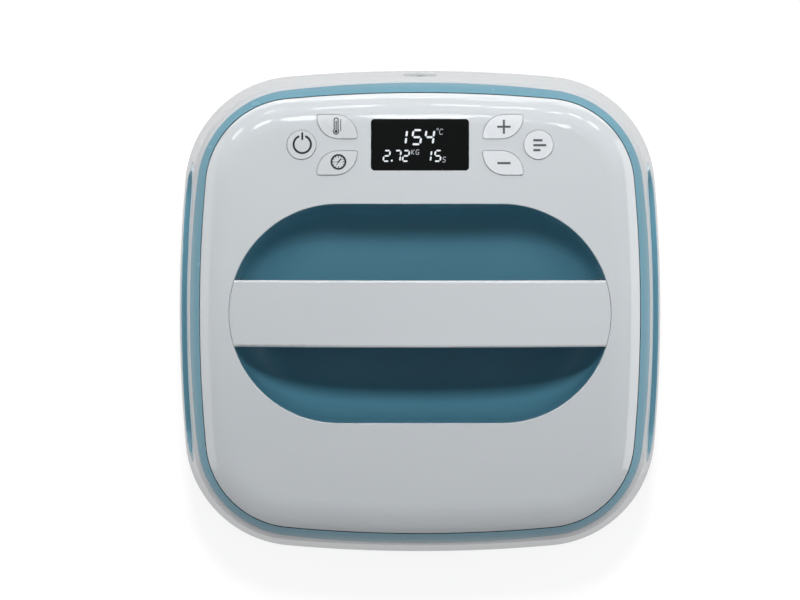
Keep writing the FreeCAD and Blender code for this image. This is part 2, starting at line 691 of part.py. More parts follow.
form = pillow("form", "0")
form_core = pillow("form_core", "housing_wall / 2")
form_window = pillow("form_window", "window_recess")
form_key = pillow("form_key", "key_top_inset")
form_wall = pillow("form_wall", "housing_wall")
form_seat = pillow("form_seat", "under_cover")
form_tongue = pillow("form_tongue", "tongue_inside")
form_flange = pillow("form_flange", "flange_inside")
skin = cut("skin", form, form_wall)
EVERYWHERE = ("-half_width - key_proud", "half_width + key_proud") * 2


def layer(name, solid, bottom, top):
    """The part of a solid between two heights."""
    return common(name, solid, box(name + "_range", *EVERYWHERE, bottom, top))


# ---- places that several pieces share -----------------------------------------------------------

housing_posts = (four("corner_boss_across", "corner_boss_along")
                 + [("front_boss_across", "-front_boss_along"), ("-front_boss_across", "-front_boss_along")])
frame_posts = four("frame_post_corner", "frame_post_corner") + four("frame_post_across", "frame_post_along")
liner_legs = four("liner_leg_across", "liner_leg_along")
standoffs = four("standoff_place", "standoff_place")
control_posts = [(f"{side}control_post_place", "control_front + control_post_inset" + step)
                 for side in ("", "-") for step in ("", " + control_post_pitch")]
power_posts = [(f"power_left + {x}", f"power_front + {y}")
               for x in ("power_post_inset", "power_width - power_post_inset")
               for y in ("power_post_inset", "power_depth - power_post_inset")]
strap_screws = four("handle_screw_place", "handle_screw_spread")

# ---- pocket and handle, from the same outlines --------------------------------------------------

bar_radius = "handle_half_length - pocket_straight"


def pocket_solid(name, inset, floor):
    """The pocket's space moved in by an inset, down to a floor."""
    radius = f"pocket_half_width - ({inset})"
    floor_round = f"pocket_radius - fit_gap - ({inset})"
    bowl = slot_block(name + "_bowl", "XY_Plane", "pocket_straight", radius, "bar_top_end",
                      f"bar_top_end - ({floor})", "pocket_draft", floor_round, inwards=True)
    mouth = slot_block(name + "_mouth", "XY_Plane", "pocket_straight", radius, "bar_top_end",
                       "blank_height - bar_top_end")
    return fuse(name, bowl, mouth)


def bar_solid(name, inset, edge_round=None):
    """The whole handle as one solid, with every face moved in by an inset."""
    bar = arch_block(name + "_bar", "handle_half_length + fit_gap", f"handle_half_width - ({inset})",
                     (f"bar_top_end - ({inset})", f"bar_top_middle - ({inset})"),
                     (f"bar_under_end + ({inset})", f"bar_under_middle + ({inset})"), edge_round)
    ends = slot_block(name + "_ends", "XY_Plane", "pocket_straight", f"{bar_radius} - ({inset})",
                      "pocket_floor", "bar_top_middle + fit_gap - pocket_floor")
    return common(name, bar, ends)


bar = bar_solid("bar", "0", "bar_edge_radius")
bar_inside = bar_solid("bar_inside", "handle_wall")
bar_notch = common("bar_notch",
                   slot_block("notch_ends", "XY_Plane", "pocket_straight", f"{bar_radius} + fit_gap",
                              "pocket_floor", "blank_height - pocket_floor"),
                   box("notch_sides", *EVERYWHERE[:2], "-handle_half_width - fit_gap",
                       "handle_half_width + fit_gap", "bar_under_end - fit_gap", "blank_height"))

strap_arch = arch_block("strap_arch", "strap_tab_start", "strap_half_width",
                        ("strap_tab_top", "strap_middle + strap_wall"), ("strap_tab_height", "strap_middle"))
tabs = [box(f"strap_tab_{side}", *ends, "-strap_half_width", "strap_half_width", "strap_tab_height",
            "strap_tab_top")
        for side, ends in (("right", ("strap_tab_start", "strap_tab_end")),
                           ("left", ("-strap_tab_end", "-strap_tab_start")))]
tab_holes = [hole(f"tab_hole_{i}", x, y, "strap_tab_height", "strap_tab_top", large=True)
             for i, (x, y) in enumerate(strap_screws)]
piece("handle_strap", cut("strap", fuse("strap_blank", strap_arch, *tabs), *tab_holes))
strap_room = box("strap_room", "-strap_tab_end", "strap_tab_end", "-strap_half_width - fit_gap",
                 "strap_half_width + fit_gap", "strap_tab_height - fit_gap", "strap_tab_top + fit_gap")

bar_shell = cut("bar_shell", bar, bar_inside)
above_split = arch_block("above_split", "half_width", "handle_half_width * 2",
                         ("bar_split_end + bar_top_end", "bar_split_middle + bar_top_end"),
                         ("bar_split_end", "bar_split_middle"))
under_split = arch_block("under_split", "half_width", "handle_half_width * 2",
                         ("bar_split_end - fit_gap", "bar_split_middle - fit_gap"),
                         ("bar_split_end - bar_under_end", "bar_split_middle - bar_under_end"))


def ribs(name, half_across, over, under):
    """Three ribs across the handle, between two arches."""
    space = arch_block(name + "_space", "strap_tab_start", half_across, over, under)
    walls = [box(f"{name}_wall_{i}", f"{x} - rib_wall / 2", f"{x} + rib_wall / 2", *EVERYWHERE[2:],
                 "pocket_floor", "blank_height + cut_spare")
             for i, x in enumerate(("-rib_spread", "0", "rib_spread"))]
    return common(name, space, group(name + "_walls", *walls))


upper_ribs = ribs("upper_ribs", "handle_half_width - handle_wall - fit_gap",
                  ("bar_top_end - handle_wall / 2", "bar_top_middle - handle_wall / 2"),
                  ("strap_tab_top + fit_gap", "strap_middle + strap_wall + fit_gap"))
lower_ribs = ribs("lower_ribs", "handle_half_width - handle_wall / 2",
                  ("strap_tab_height - fit_gap", "strap_middle - fit_gap"),
                  ("bar_under_end + handle_wall / 2", "bar_under_middle + handle_wall / 2"))
piece("handle_upper", fuse("upper_half", common("upper_shell", bar_shell, above_split), upper_ribs))
piece("handle_lower", fuse("lower_half", cut("lower_shell", common("lower_blank", bar_shell, under_split),
                                             strap_room), lower_ribs))

flange_skin = cut("flange_skin", form_seat, form_flange)
liner_blank = fuse("liner_blank",
                   common("liner_bowl", pocket_solid("liner_outside", "0 - fit_gap - liner_wall",
                                                     "pocket_floor - liner_wall"), form_seat),
                   common("liner_rim", flange_skin,
                          slot_block("liner_rim_outline", "XY_Plane", "pocket_straight",
                                     "pocket_half_width + liner_flange", "boss_split",
                                     "blank_height - boss_split")),
                   *[pillar(f"liner_leg_{i}", x, y, "deck_top", "pocket_floor - liner_wall / 2",
                            "boss_radius")
                     for i, (x, y) in enumerate(liner_legs)])
liner_holes = [hole(f"liner_leg_hole_{i}", x, y, "deck_top", "deck_top + small_screw_bite")
               for i, (x, y) in enumerate(liner_legs)]
liner_inside = pocket_solid("liner_inside", "0 - fit_gap", "pocket_floor")
piece("pocket_liner", cut("liner", liner_blank, liner_inside, bar_notch, strap_room, *liner_holes))

# ---- keys, window and their openings ------------------------------------------------------------

ROUND, POINT = "leaf_round", "leaf_point"
LEAVES = {
    "temperature": ("-leaf_key_place", "rear_leaf_centre", (ROUND, POINT, ROUND, POINT)),
    "timer": ("-leaf_key_place", "front_leaf_centre", (POINT, ROUND, POINT, ROUND)),
    "plus": ("leaf_key_place", "rear_leaf_centre", (POINT, ROUND, POINT, ROUND)),
    "minus": ("leaf_key_place", "front_leaf_centre", (ROUND, POINT, ROUND, POINT)),
}
ROUNDS = {"power": "-round_key_place", "preset": "round_key_place"}


def leaf_prism(name, across, along, corners, growth, bottom):
    """An upright leaf outline, grown on every side."""
    half_width, half_depth = f"leaf_half_width + ({growth})", f"leaf_half_depth + ({growth})"
    return round_block(name, f"{across} - ({half_width})", f"{across} + {half_width}",
                       f"{along} - ({half_depth})", f"{along} + {half_depth}", bottom,
                       f"blank_height - ({bottom})", [f"{value} + ({growth})" for value in corners])


def key_prisms(name, growth, bottom):
    """One key's outline, grown on every side, from a height up through the crown."""
    if name in ROUNDS:
        return pillar(f"{name}_prism", ROUNDS[name], "panel_centre", bottom, "blank_height",
                      f"round_key_radius + ({growth})")
    return leaf_prism(f"{name}_prism", *LEAVES[name], growth, bottom)


openings = []
key_places = {name: (across, "panel_centre") for name, across in ROUNDS.items()}
key_places.update({name: (across, along) for name, (across, along, corners) in LEAVES.items()})
for name, (across, along) in key_places.items():
    cap = softened(f"{name}_cap", common(f"{name}_cap_blank", form_key, key_prisms(name, "0", "key_foot")),
                   "key_round", form_key)
    rim = common(f"{name}_rim", form_seat, key_prisms(name, "key_flange", "key_foot"))
    piece(f"{name}_key", fuse(f"{name}_button", cap, rim))
    openings.append(key_prisms(name, "key_gap", "key_foot"))
    dome = bind(doc.addObject("Part::Cone", f"{name}_cone"), Radius1="dome_foot_radius",
                Radius2="dome_tip_radius", Height="key_foot - board_top")
    piece(f"{name}_dome", stand(dome, across, along, "board_top"))


def window_prism(name, growth, bottom):
    """The window's outline, grown on every side."""
    return round_block(name, f"-window_half_width - ({growth})", f"window_half_width + ({growth})",
                       f"panel_centre - window_half_depth - ({growth})",
                       f"panel_centre + window_half_depth + ({growth})",
                       bottom, f"blank_height - ({bottom})", [f"window_corner + ({growth})"] * 4)


window_face = common("window_face", form_window, window_prism("window_prism", "0", "window_back"))
window_rim = common("window_rim", form_seat, window_prism("window_rim_prism", "window_flange", "window_back"))
piece("display_window", fuse("window", window_face, window_rim))
openings.append(window_prism("window_opening", "window_gap", "window_back"))

# ---- cover, band and lower housing --------------------------------------------------------------

cover_posts = common("cover_posts", form_core, group(
    "cover_post_set",
    *[pillar(f"cover_post_{i}", x, y, "boss_split", "crown_top", "boss_radius")
      for i, (x, y) in enumerate(housing_posts)],
    *[pillar(f"board_post_{i}", x, y, "board_top", "crown_top", "post_radius")
      for i, (x, y) in enumerate(control_posts)]))
cover_holes = [hole(f"cover_hole_{i}", x, y, "boss_split", "boss_split + screw_bite + screw_gap", large=True)
               for i, (x, y) in enumerate(housing_posts)]
cover_holes += [hole(f"board_post_hole_{i}", x, y, "board_top", "board_top + small_screw_bite + screw_gap")
                for i, (x, y) in enumerate(control_posts)]
pocket_opening = slot_block("pocket_opening", "XY_Plane", "pocket_straight", "pocket_half_width",
                            "boss_split", "blank_height - boss_split")


def inner_prism(name, inset):
    """An upright block with the body's outline moved in, from below the band up past the crown."""
    return slab(name, inset, "boss_split", "blank_height - boss_split")


cover_skin = cut("cover_skin", common("cover_disc", skin, inner_prism("cover_outline", "cover_inset")),
                 pocket_opening)
piece("top_shell", cut("cover", fuse("cover_blank", softened("cover_soft", cover_skin, "edge_round", form),
                                     cover_posts),
                       *openings, *cover_holes))

band_edge = inner_prism("band_edge", "cover_inset - ring_shadow")
band = layer("band", cut("band_skin", form, form_tongue, band_edge), "ring_bottom", "blank_height")
tongue_edge = inner_prism("tongue_edge", "cover_inset + tongue_reach")
tongue = layer("tongue", cut("tongue_skin", form_seat, form_tongue, tongue_edge),
               "ring_bottom - tongue_drop", "blank_height")
piece("accent_ring", fuse("ring", band, tongue))

deck = layer("deck", form_core, "deck_bottom", "deck_top")
solid_posts = [pillar(f"housing_post_{i}", x, y, "deck_bottom", "boss_split", "boss_radius")
               for i, (x, y) in enumerate(housing_posts)]
solid_posts += [pillar(f"frame_post_{i}", x, y, "frame_top", "deck_bottom + deck_wall / 2",
                       "frame_post_radius")
                for i, (x, y) in enumerate(frame_posts)]
solid_posts += [pillar(f"power_post_{i}", x, y, "deck_bottom", "power_under", "post_radius")
                for i, (x, y) in enumerate(power_posts)]
solid_posts += [box(f"strap_post_{side}", *ends, "-strap_half_width", "strap_half_width", "deck_bottom",
                    "strap_tab_height")
                for side, ends in (("right", ("strap_post_start", "strap_tab_end")),
                                   ("left", ("-strap_tab_end", "-strap_post_start")))]
housing_holes = [hole(f"housing_hole_{i}", x, y, "deck_bottom", "boss_split", large=True)
                 for i, (x, y) in enumerate(housing_posts)]
housing_holes += [hole(f"frame_post_hole_{i}", x, y, "frame_top", "frame_top + small_screw_bite + screw_gap")
                  for i, (x, y) in enumerate(frame_posts)]
housing_holes += [hole(f"power_post_hole_{i}", x, y, "power_under - small_screw_bite - screw_gap",
                       "power_under")
                  for i, (x, y) in enumerate(power_posts)]
housing_holes += [hole(f"strap_post_hole_{i}", x, y, "strap_tab_height - screw_bite - screw_gap",
                       "strap_tab_height", large=True) for i, (x, y) in enumerate(strap_screws)]
housing_holes += [hole(f"leg_hole_{i}", x, y, "deck_bottom", "deck_top")
                  for i, (x, y) in enumerate(liner_legs)]
cell_screw_places = [(f"{x} {side} cell_screw_spread", f"{y} {end} (cell_side - cell_pad) / 2")
                     for x, y in standoffs for side in "-+" for end in "-+"]
housing_holes += [hole(f"cell_deck_hole_{i}", x, y, "deck_bottom", "deck_top")
                  for i, (x, y) in enumerate(cell_screw_places)]
clamp_screw_places = [("clamp_screw_spread", "clamp_place"), ("-clamp_screw_spread", "clamp_place")]
housing_holes += [hole(f"clamp_deck_hole_{i}", x, y, "deck_bottom", "deck_top")
                  for i, (x, y) in enumerate(clamp_screw_places)]

grip_reach = "half_width + key_proud - grip_back"
grip_window = slot_block("grip_window", "YZ_Plane", "grip_straight", "grip_half_height + fit_gap",
                         "grip_back", grip_reach, rise="grip_centre_height")
grip_room = common("grip_room", form_seat,
                   box("grip_room_box", "grip_back - fit_gap", "half_width",
                       "-grip_half_length - grip_flange - fit_gap",
                       "grip_half_length + grip_flange + fit_gap", "deck_bottom", "deck_top"))
gland_window = lying_rod("gland_window", "0", "gland_inner", "gland_height", "gland_length + key_proud",
                         "gland_radius + fit_gap", Vector(0, 1, 0))
gland_room = common("gland_room", form_seat,
                    box("gland_room_box", "-gland_radius - gland_flange - fit_gap",
                        "gland_radius + gland_flange + fit_gap", "clamp_place + clamp_width", "half_width",
                        "deck_bottom", "deck_top"))
housing_wall = layer("skirt", skin, "skirt_foot", "skirt_top")
piece("lower_housing", cut("housing", fuse("housing_blank", housing_wall, deck, *solid_posts),
                           grip_window, mirrored("grip_window_left", grip_window),
                           grip_room, mirrored("grip_room_left", grip_room),
                           gland_window, gland_room, *housing_holes))

# ---- side grips ---------------------------------------------------------------------------------

grip_face = "half_width - (grip_centre_height - skirt_foot) * tan(draft_angle)"
grip_plug = common("grip_plug", form,
                   slot_block("grip_outline", "YZ_Plane", "grip_straight", "grip_half_height", "grip_back",
                              grip_reach, rise="grip_centre_height"))
grip_rim = common("grip_rim_blank", form_seat,
                  slot_block("grip_rim_outline", "YZ_Plane", "grip_straight",
                             "grip_half_height + grip_flange", "grip_back", grip_reach,
                             rise="grip_centre_height"))
scoop = slot_block("scoop", "YZ_Plane", "grip_straight", "grip_half_height - grip_rim", grip_face,
                   f"{grip_face} - scoop_floor", "scoop_draft", "scoop_radius", "grip_centre_height",
                   inwards=True)
scoop_mouth = slot_block("scoop_mouth", "YZ_Plane", "grip_straight", "grip_half_height - grip_rim", grip_face,
                         f"half_width + key_proud - ({grip_face})", rise="grip_centre_height")
grip = cut("grip", fuse("grip_blank", grip_plug, grip_rim), scoop, scoop_mouth)
piece("side_grip_right", grip)
piece("side_grip_left", mirrored("grip_left", grip))

# ---- cord gland, clamp and terminals ------------------------------------------------------------

to_rear = Vector(0, 1, 0)
gland_plug = common("gland_plug", form, lying_rod("gland_rod", "0", "gland_inner", "gland_height",
                                                  "gland_length", "gland_radius", to_rear))
gland_rim = common("gland_rim", form_seat,
                   lying_rod("gland_disc", "0", "gland_inner", "gland_height", "gland_length",
                             "gland_radius + gland_flange", to_rear))
piece("cord_gland", cut("gland", fuse("gland_blank", gland_plug, gland_rim),
                        lying_rod("gland_bore", "0", "gland_inner", "gland_height", "gland_length",
                                  "cord_radius", to_rear)))
clamp_front = "clamp_place - clamp_width / 2"
clamp_rear = "clamp_place + clamp_width / 2"
clamp_block = round_block("clamp_block", "-clamp_half_length", "clamp_half_length", clamp_front, clamp_rear,
                          "deck_top", "clamp_height", ["clamp_corner"] * 4)
clamp_bore = lying_rod("clamp_bore", "0", clamp_front, "deck_top + cord_radius", "clamp_width", "cord_radius",
                       to_rear)
clamp_channel = box("clamp_channel", "-cord_radius", "cord_radius", clamp_front, clamp_rear, "deck_top",
                    "deck_top + cord_radius")
piece("cord_clamp", cut("clamp", clamp_block, clamp_bore, clamp_channel,
                        *[hole(f"clamp_hole_{i}", x, y, "deck_top", "deck_top + clamp_height")
                          for i, (x, y) in enumerate(clamp_screw_places)]))
terminal_blank = box("terminal_blank", "terminal_place", "terminal_place + terminal_width",
                     "panel_centre - terminal_height / 2", "panel_centre + terminal_height / 2",
                     "deck_top", "deck_top + terminal_height")
wells = [pillar(f"terminal_well_{i}", f"terminal_place + terminal_width * {2 * i + 1} / 6", "panel_centre",
                "deck_top + terminal_height - well_depth", "deck_top + terminal_height", "well_radius")
         for i in range(3)]
piece("terminal_block", cut("terminals", terminal_blank, *wells))

# ---- circuit boards -----------------------------------------------------------------------------

control_blank = round_block("control_blank", "-control_half_width", "control_half_width", "control_front",
                            "control_rear", "control_board_height", "board_wall", ["control_corner"] * 4)
piece("control_board", cut("control", control_blank,
                           *[hole(f"control_hole_{i}", x, y, "control_board_height", "board_top")
                             for i, (x, y) in enumerate(control_posts)]))


def hung_box(name, across, along, width, depth, height):
    """A block under the control board."""
    return box(name, f"{across} - ({width}) / 2", f"{across} + ({width}) / 2", f"{along} - ({depth}) / 2",
               f"{along} + ({depth}) / 2", f"control_board_height - ({height})", "control_board_height")


CHIPS = {
    "main_chip": ("main_chip_place", "main_chip_side", "main_chip_side"),
    "driver_chip": ("driver_chip_place", "driver_chip_width", "driver_chip_depth"),
    "regulator": ("regulator_place", "regulator_width", "regulator_depth"),
}
piece("control_chips", group("chips", *[hung_box(name, across, "panel_centre", width, depth, "chip_height")
                                        for name, (across, width, depth) in CHIPS.items()]))
piece("buzzer", pillar("buzzer_can", "-buzzer_place", "panel_centre",
                       "control_board_height - buzzer_height", "control_board_height", "buzzer_radius"))
piece("tilt_switch", hung_box("tilt_can", "switch_place", "panel_centre + switch_shift", "switch_side",
                              "switch_side", "switch_height"))
module_blank = round_block("module_blank", "-module_half_width", "module_half_width",
                           "panel_centre - module_half_depth", "panel_centre + module_half_depth",
                           "board_top", "window_back - board_top", ["window_corner"] * 4)
piece("display_module", module_blank)

power_blank = round_block("power_blank", "power_left", "power_left + power_width", "power_front",
                          "power_front + power_depth", "power_under", "board_wall", ["control_corner"] * 4)
piece("power_board", cut("power", power_blank, *[hole(f"power_hole_{i}", x, y, "power_under", "power_top")
                                                 for i, (x, y) in enumerate(power_posts)]))
power_middle = "power_left + power_width / 2"


def board_box(name, across, width, depth, bottom, top):
    """A block between two heights, centred on the power board's depth."""
    return box(name, f"{across} - {width} / 2", f"{across} + {width} / 2", f"panel_centre - {depth} / 2",
               f"panel_centre + {depth} / 2", bottom, top)


core_place = power_middle + " + core_width / 2"
core = board_box("transformer_core", core_place, "core_width", "core_depth", "power_top",
                 "power_top + core_height")
coil = board_box("transformer_coil", core_place, "coil_width", "coil_depth", "power_top + coil_margin",
                 "power_top + core_height - coil_margin")
piece("transformer", fuse("transformer_unit", core, coil))
piece("relay", board_box("relay_case", "power_left + relay_margin + relay_width / 2", "relay_width",
                         "relay_depth", "power_top", "power_top + relay_height"))
piece("capacitor", pillar("capacitor_can", power_middle + " - capacitor_radius - fit_gap", "panel_centre",
                          "power_top", "power_top + capacitor_height", "capacitor_radius - fit_gap"))

# ---- pressing plate and what lies on it ---------------------------------------------------------


def serpentine(name, radius):
    """Rods and half rings that make the element's path on the plate."""
    runs = []
    rows = round(number("element_rows"))
    for row in range(rows):
        along = f"{row} * element_pitch - row_last"
        runs.append(lying_rod(f"{name}_run_{row}", "-element_half_run", along, "plate_height",
                              "2 * element_half_run", radius, Vector(1, 0, 0)))
        if row < rows - 1:
            right = row % 2 == 0
            bend = bind(doc.addObject("Part::Torus", f"{name}_bend_{row}"), Radius1="element_pitch / 2",
                        Radius2=radius)
            bend.Angle3 = 180
            bend.Placement = Placement(Vector(), Rotation(Vector(0, 0, 1), -90 if right else 90))
            stand(bend, "element_half_run" if right else "-element_half_run", f"{along} + element_pitch / 2",
                  "plate_height")
            runs.append(bend)
    return runs


element_ends = [("-element_half_run", "-row_last"), ("-element_half_run", "row_last")]
plate_blank = slab("plate_blank", "plate_inset", "0", "plate_height")
round_edges(plate_blank, plate_blank.Tip, "plate_edge_radius", lambda edge: edge.BoundBox.ZMax < NEAR)
piece("heating_plate", cut("plate", plate_blank, *serpentine("groove", "element_radius + element_gap")))
risers = [pillar(f"element_riser_{i}", x, y, "plate_height", "plate_height + terminal_rise", "element_radius")
          for i, (x, y) in enumerate(element_ends)]
piece("heating_element", fuse("element", *serpentine("element", "element_radius"), *risers))

frame_holes = [hole(f"frame_hole_{i}", x, y, "frame_foot", "frame_top")
               for i, (x, y) in enumerate(frame_posts)]
frame_holes += [pillar(f"frame_recess_{i}", x, y, "frame_foot", "frame_foot + small_head_height + fit_gap",
                       "small_head_radius + fit_gap") for i, (x, y) in enumerate(frame_posts)]
piece("plate_frame", cut("rim", slab("rim_blank", "frame_outer_inset", "frame_foot", "frame_height"),
                         slab("rim_opening", "frame_inner_inset", "frame_foot", "frame_height"),
                         *frame_holes))

mat_holes = [pillar(f"mat_hole_{i}", x, y, "mat_bottom", "mat_top", "standoff_radius + fit_gap")
             for i, (x, y) in enumerate(standoffs)]
mat_holes += [pillar(f"mat_riser_hole_{i}", x, y, "mat_bottom", "mat_top", "element_radius + fit_gap")
              for i, (x, y) in enumerate(element_ends)]
mat_holes.append(pillar("mat_thermostat_hole", "0", "0", "mat_bottom", "mat_top",
                        "thermostat_radius + fit_gap"))
piece("insulation_mat", cut("mat", slab("mat_blank", "mat_outline", "mat_bottom", "mat_height"), *mat_holes))

shield_tray = slab("shield_tray", "shield_outline", "shield_top - shield_rim", "shield_rim")
shield_inside = slab("shield_inside", "shield_outline + shield_wall", "shield_top - shield_rim",
                     "shield_rim - shield_wall")
shield_holes = [pillar(f"shield_hole_{i}", x, y, "shield_under", "shield_top", "standoff_neck + fit_gap")
                for i, (x, y) in enumerate(standoffs)]
shield_holes += [pillar(f"shield_riser_hole_{i}", x, y, "shield_under", "shield_top",
                        "element_radius + fit_gap")
                 for i, (x, y) in enumerate(element_ends)]
piece("heat_shield", cut("shield", shield_tray, shield_inside, *shield_holes))

piece("plate_standoffs", group("standoff_set", *[
    fuse(f"standoff_{i}",
         pillar(f"standoff_foot_{i}", x, y, "plate_height", "shield_under", "standoff_radius"),
         pillar(f"standoff_neck_{i}", x, y, "shield_under", "cell_bottom", "standoff_neck"))
    for i, (x, y) in enumerate(standoffs)]))


def load_cell(number_of, across, along):
    """A spring plate with a tongue in its middle and two bars that lift it to the deck."""
    name = f"cell_{number_of}"
    half, tongue, slot = "cell_side / 2", "cell_tongue / 2", "cell_slot"
    plate = box(name + "_plate", f"{across} - {half}", f"{across} + {half}", f"{along} - {half}",
                f"{along} + {half}", "cell_bottom", "cell_top")
    bars = [box(f"{name}_bar_{i}", f"{across} - {half}", f"{across} + {half}", front, rear, "cell_bottom",
                "deck_bottom")
            for i, (front, rear) in enumerate(((f"{along} - {half}", f"{along} - {half} + cell_pad"),
                                               (f"{along} + {half} - cell_pad", f"{along} + {half}")))]
    slots = [box(f"{name}_slot_{i}", left, right, f"{along} - {tongue}", f"{along} + {tongue}", "cell_bottom",
                 "cell_top")
             for i, (left, right) in enumerate(((f"{across} - {tongue} - {slot}", f"{across} - {tongue}"),
                                                (f"{across} + {tongue}", f"{across} + {tongue} + {slot}")))]
    slots.append(box(name + "_slot_end", f"{across} - {tongue} - {slot}", f"{across} + {tongue} + {slot}",
                     f"{along} + {tongue}", f"{along} + {tongue} + {slot}", "cell_bottom", "cell_top"))
    return cut(name, fuse(name + "_blank", plate, *bars), *slots)


cells = group("cell_set", *[load_cell(i, x, y) for i, (x, y) in enumerate(standoffs)])
piece("load_cells", cut("cells", cells, *[hole(f"cell_hole_{i}", x, y, "cell_bottom", "deck_bottom")
                                          for i, (x, y) in enumerate(cell_screw_places)]))

piece("thermostat", pillar("thermostat_can", "0", "0", "plate_height", "plate_height + thermostat_height",
                           "thermostat_radius"))
piece("temperature_sensor", box("sensor_case", "sensor_place", "sensor_place + sensor_length",
                                "-sensor_width / 2", "sensor_width / 2", "plate_height",
                                "plate_height + sensor_height"))

# ---- screws -------------------------------------------------------------------------------------

piece("housing_screws", group("housing_screw_set", *[
    screw(f"housing_screw_{i}", x, y, "deck_bottom", "boss_split - deck_bottom + screw_bite", True,
          large=True)
    for i, (x, y) in enumerate(housing_posts)]))
piece("handle_screws", group("handle_screw_set", *[
    screw(f"handle_screw_{i}", x, y, "strap_tab_top", "strap_wall + screw_bite", False, large=True)
    for i, (x, y) in enumerate(strap_screws)]))
piece("frame_screws", group("frame_screw_set", *[
    screw(f"frame_screw_{i}", x, y, "frame_foot + small_head_height + fit_gap",
          "frame_height - small_head_height - fit_gap + small_screw_bite", True)
    for i, (x, y) in enumerate(frame_posts)]))
piece("board_screws", group("board_screw_set", *[
    screw(f"control_screw_{i}", x, y, "control_board_height", "board_wall + small_screw_bite", True)
    for i, (x, y) in enumerate(control_posts)], *[
    screw(f"power_screw_{i}", x, y, "power_top", "board_wall + small_screw_bite", False)
    for i, (x, y) in enumerate(power_posts)]))
piece("liner_screws", group("liner_screw_set", *[
    screw(f"liner_screw_{i}", x, y, "deck_bottom", "deck_wall + small_screw_bite", True)
    for i, (x, y) in enumerate(liner_legs)]))
piece("cell_screws", group("cell_screw_set", *[
    screw(f"cell_screw_{i}", x, y, "cell_bottom", "deck_top - cell_bottom", True)
    for i, (x, y) in enumerate(cell_screw_places)]))
piece("clamp_screws", group("clamp_screw_set", *[
    screw(f"clamp_screw_{i}", x, y, "deck_top + clamp_height", "clamp_height + deck_wall", False)
    for i, (x, y) in enumerate(clamp_screw_places)]))

# ---- check and write ----------------------------------------------------------------------------

doc.recompute()
for item in doc.Objects:
    if {"Invalid", "Error"} & set(item.State):
        raise RuntimeError(f"{item.Label} ({item.Name}): {item.State}")
for name, item in pieces.items():
    shape = item.Shape
    if shape.isNull() or not shape.isValid() or not shape.Solids or shape.Volume < 1:
        raise RuntimeError(f"{name} is not a sound solid")
os.makedirs("parts", exist_ok=True)
for name, item in pieces.items():
    item.Shape.exportStep(f"parts/{name}.step")
    print(f"{name}: {len(item.Shape.Solids)} solid(s), {item.Shape.Volume / 1000:.2f} cm3")
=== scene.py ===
"""The looks of a handheld heat press: white mouldings, teal inserts, printed keys, a lit display."""

import math

import bmesh
import bpy
from mathutils import Matrix, Vector
from mathutils.bvhtree import BVHTree


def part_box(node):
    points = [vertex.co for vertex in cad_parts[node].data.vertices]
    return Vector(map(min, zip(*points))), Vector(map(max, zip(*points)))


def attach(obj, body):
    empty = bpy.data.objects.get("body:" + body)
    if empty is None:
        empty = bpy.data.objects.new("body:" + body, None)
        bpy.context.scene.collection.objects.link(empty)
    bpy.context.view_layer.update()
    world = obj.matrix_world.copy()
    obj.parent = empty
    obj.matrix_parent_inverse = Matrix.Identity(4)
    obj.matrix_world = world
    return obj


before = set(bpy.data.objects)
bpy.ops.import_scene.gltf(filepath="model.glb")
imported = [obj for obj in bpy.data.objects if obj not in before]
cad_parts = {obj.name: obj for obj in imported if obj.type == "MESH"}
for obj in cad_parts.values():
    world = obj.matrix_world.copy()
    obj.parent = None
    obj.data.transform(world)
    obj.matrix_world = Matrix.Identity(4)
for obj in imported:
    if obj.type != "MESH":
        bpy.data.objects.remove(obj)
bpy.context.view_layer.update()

MM = 0.001


def grey(level):
    """A colour without a hue."""
    return (level, level, level)


def add_object(name, data):
    """Put a mesh, a lamp or a camera into the scene."""
    item = bpy.data.objects.new(name, data)
    bpy.context.collection.objects.link(item)
    return item


def add_mesh(name, shape, material):
    """Turn a finished shape into an object with one material."""
    mesh = bpy.data.meshes.new(name)
    shape.to_mesh(mesh)
    shape.free()
    mesh.materials.append(material)
    return add_object(name, mesh)


# ---- how a finish is written --------------------------------------------------------------------

class Value:
    """A node's output; sums and products with it add Math nodes."""

    def __init__(self, finish, socket):
        self.finish = finish
        self.socket = socket

    def maths(self, operation, first, second):
        """A Math node on two values."""
        return self.finish.node("ShaderNodeMath", {"operation": operation}, {0: first, 1: second})

    def __add__(self, other):
        return self.maths("ADD", self, other)

    def __radd__(self, other):
        return self.maths("ADD", other, self)

    def __mul__(self, other):
        return self.maths("MULTIPLY", self, other)

    def __rmul__(self, other):
        return self.maths("MULTIPLY", other, self)

    def larger(self, other):
        """The larger of two values."""
        return self.maths("MAXIMUM", self, other)

    def to_and_fro(self, reach):
        """Climb from 0 to 1 over a reach and fall back over the next, again and again."""
        return self.maths("PINGPONG", self, reach) * (1.0 / reach)

    def ramp(self, *stops):
        """A ramp with two stops, each with its position and level."""
        return self.finish.node("ShaderNodeValToRGB", {"stops": stops}, {"Fac": self})

    def rise(self, start, end):
        """0 below the start, 1 above the end."""
        return self.ramp((start, 0.0), (end, 1.0))

    def fall(self, start, end):
        """1 below the start, 0 above the end."""
        return self.ramp((start, 1.0), (end, 0.0))


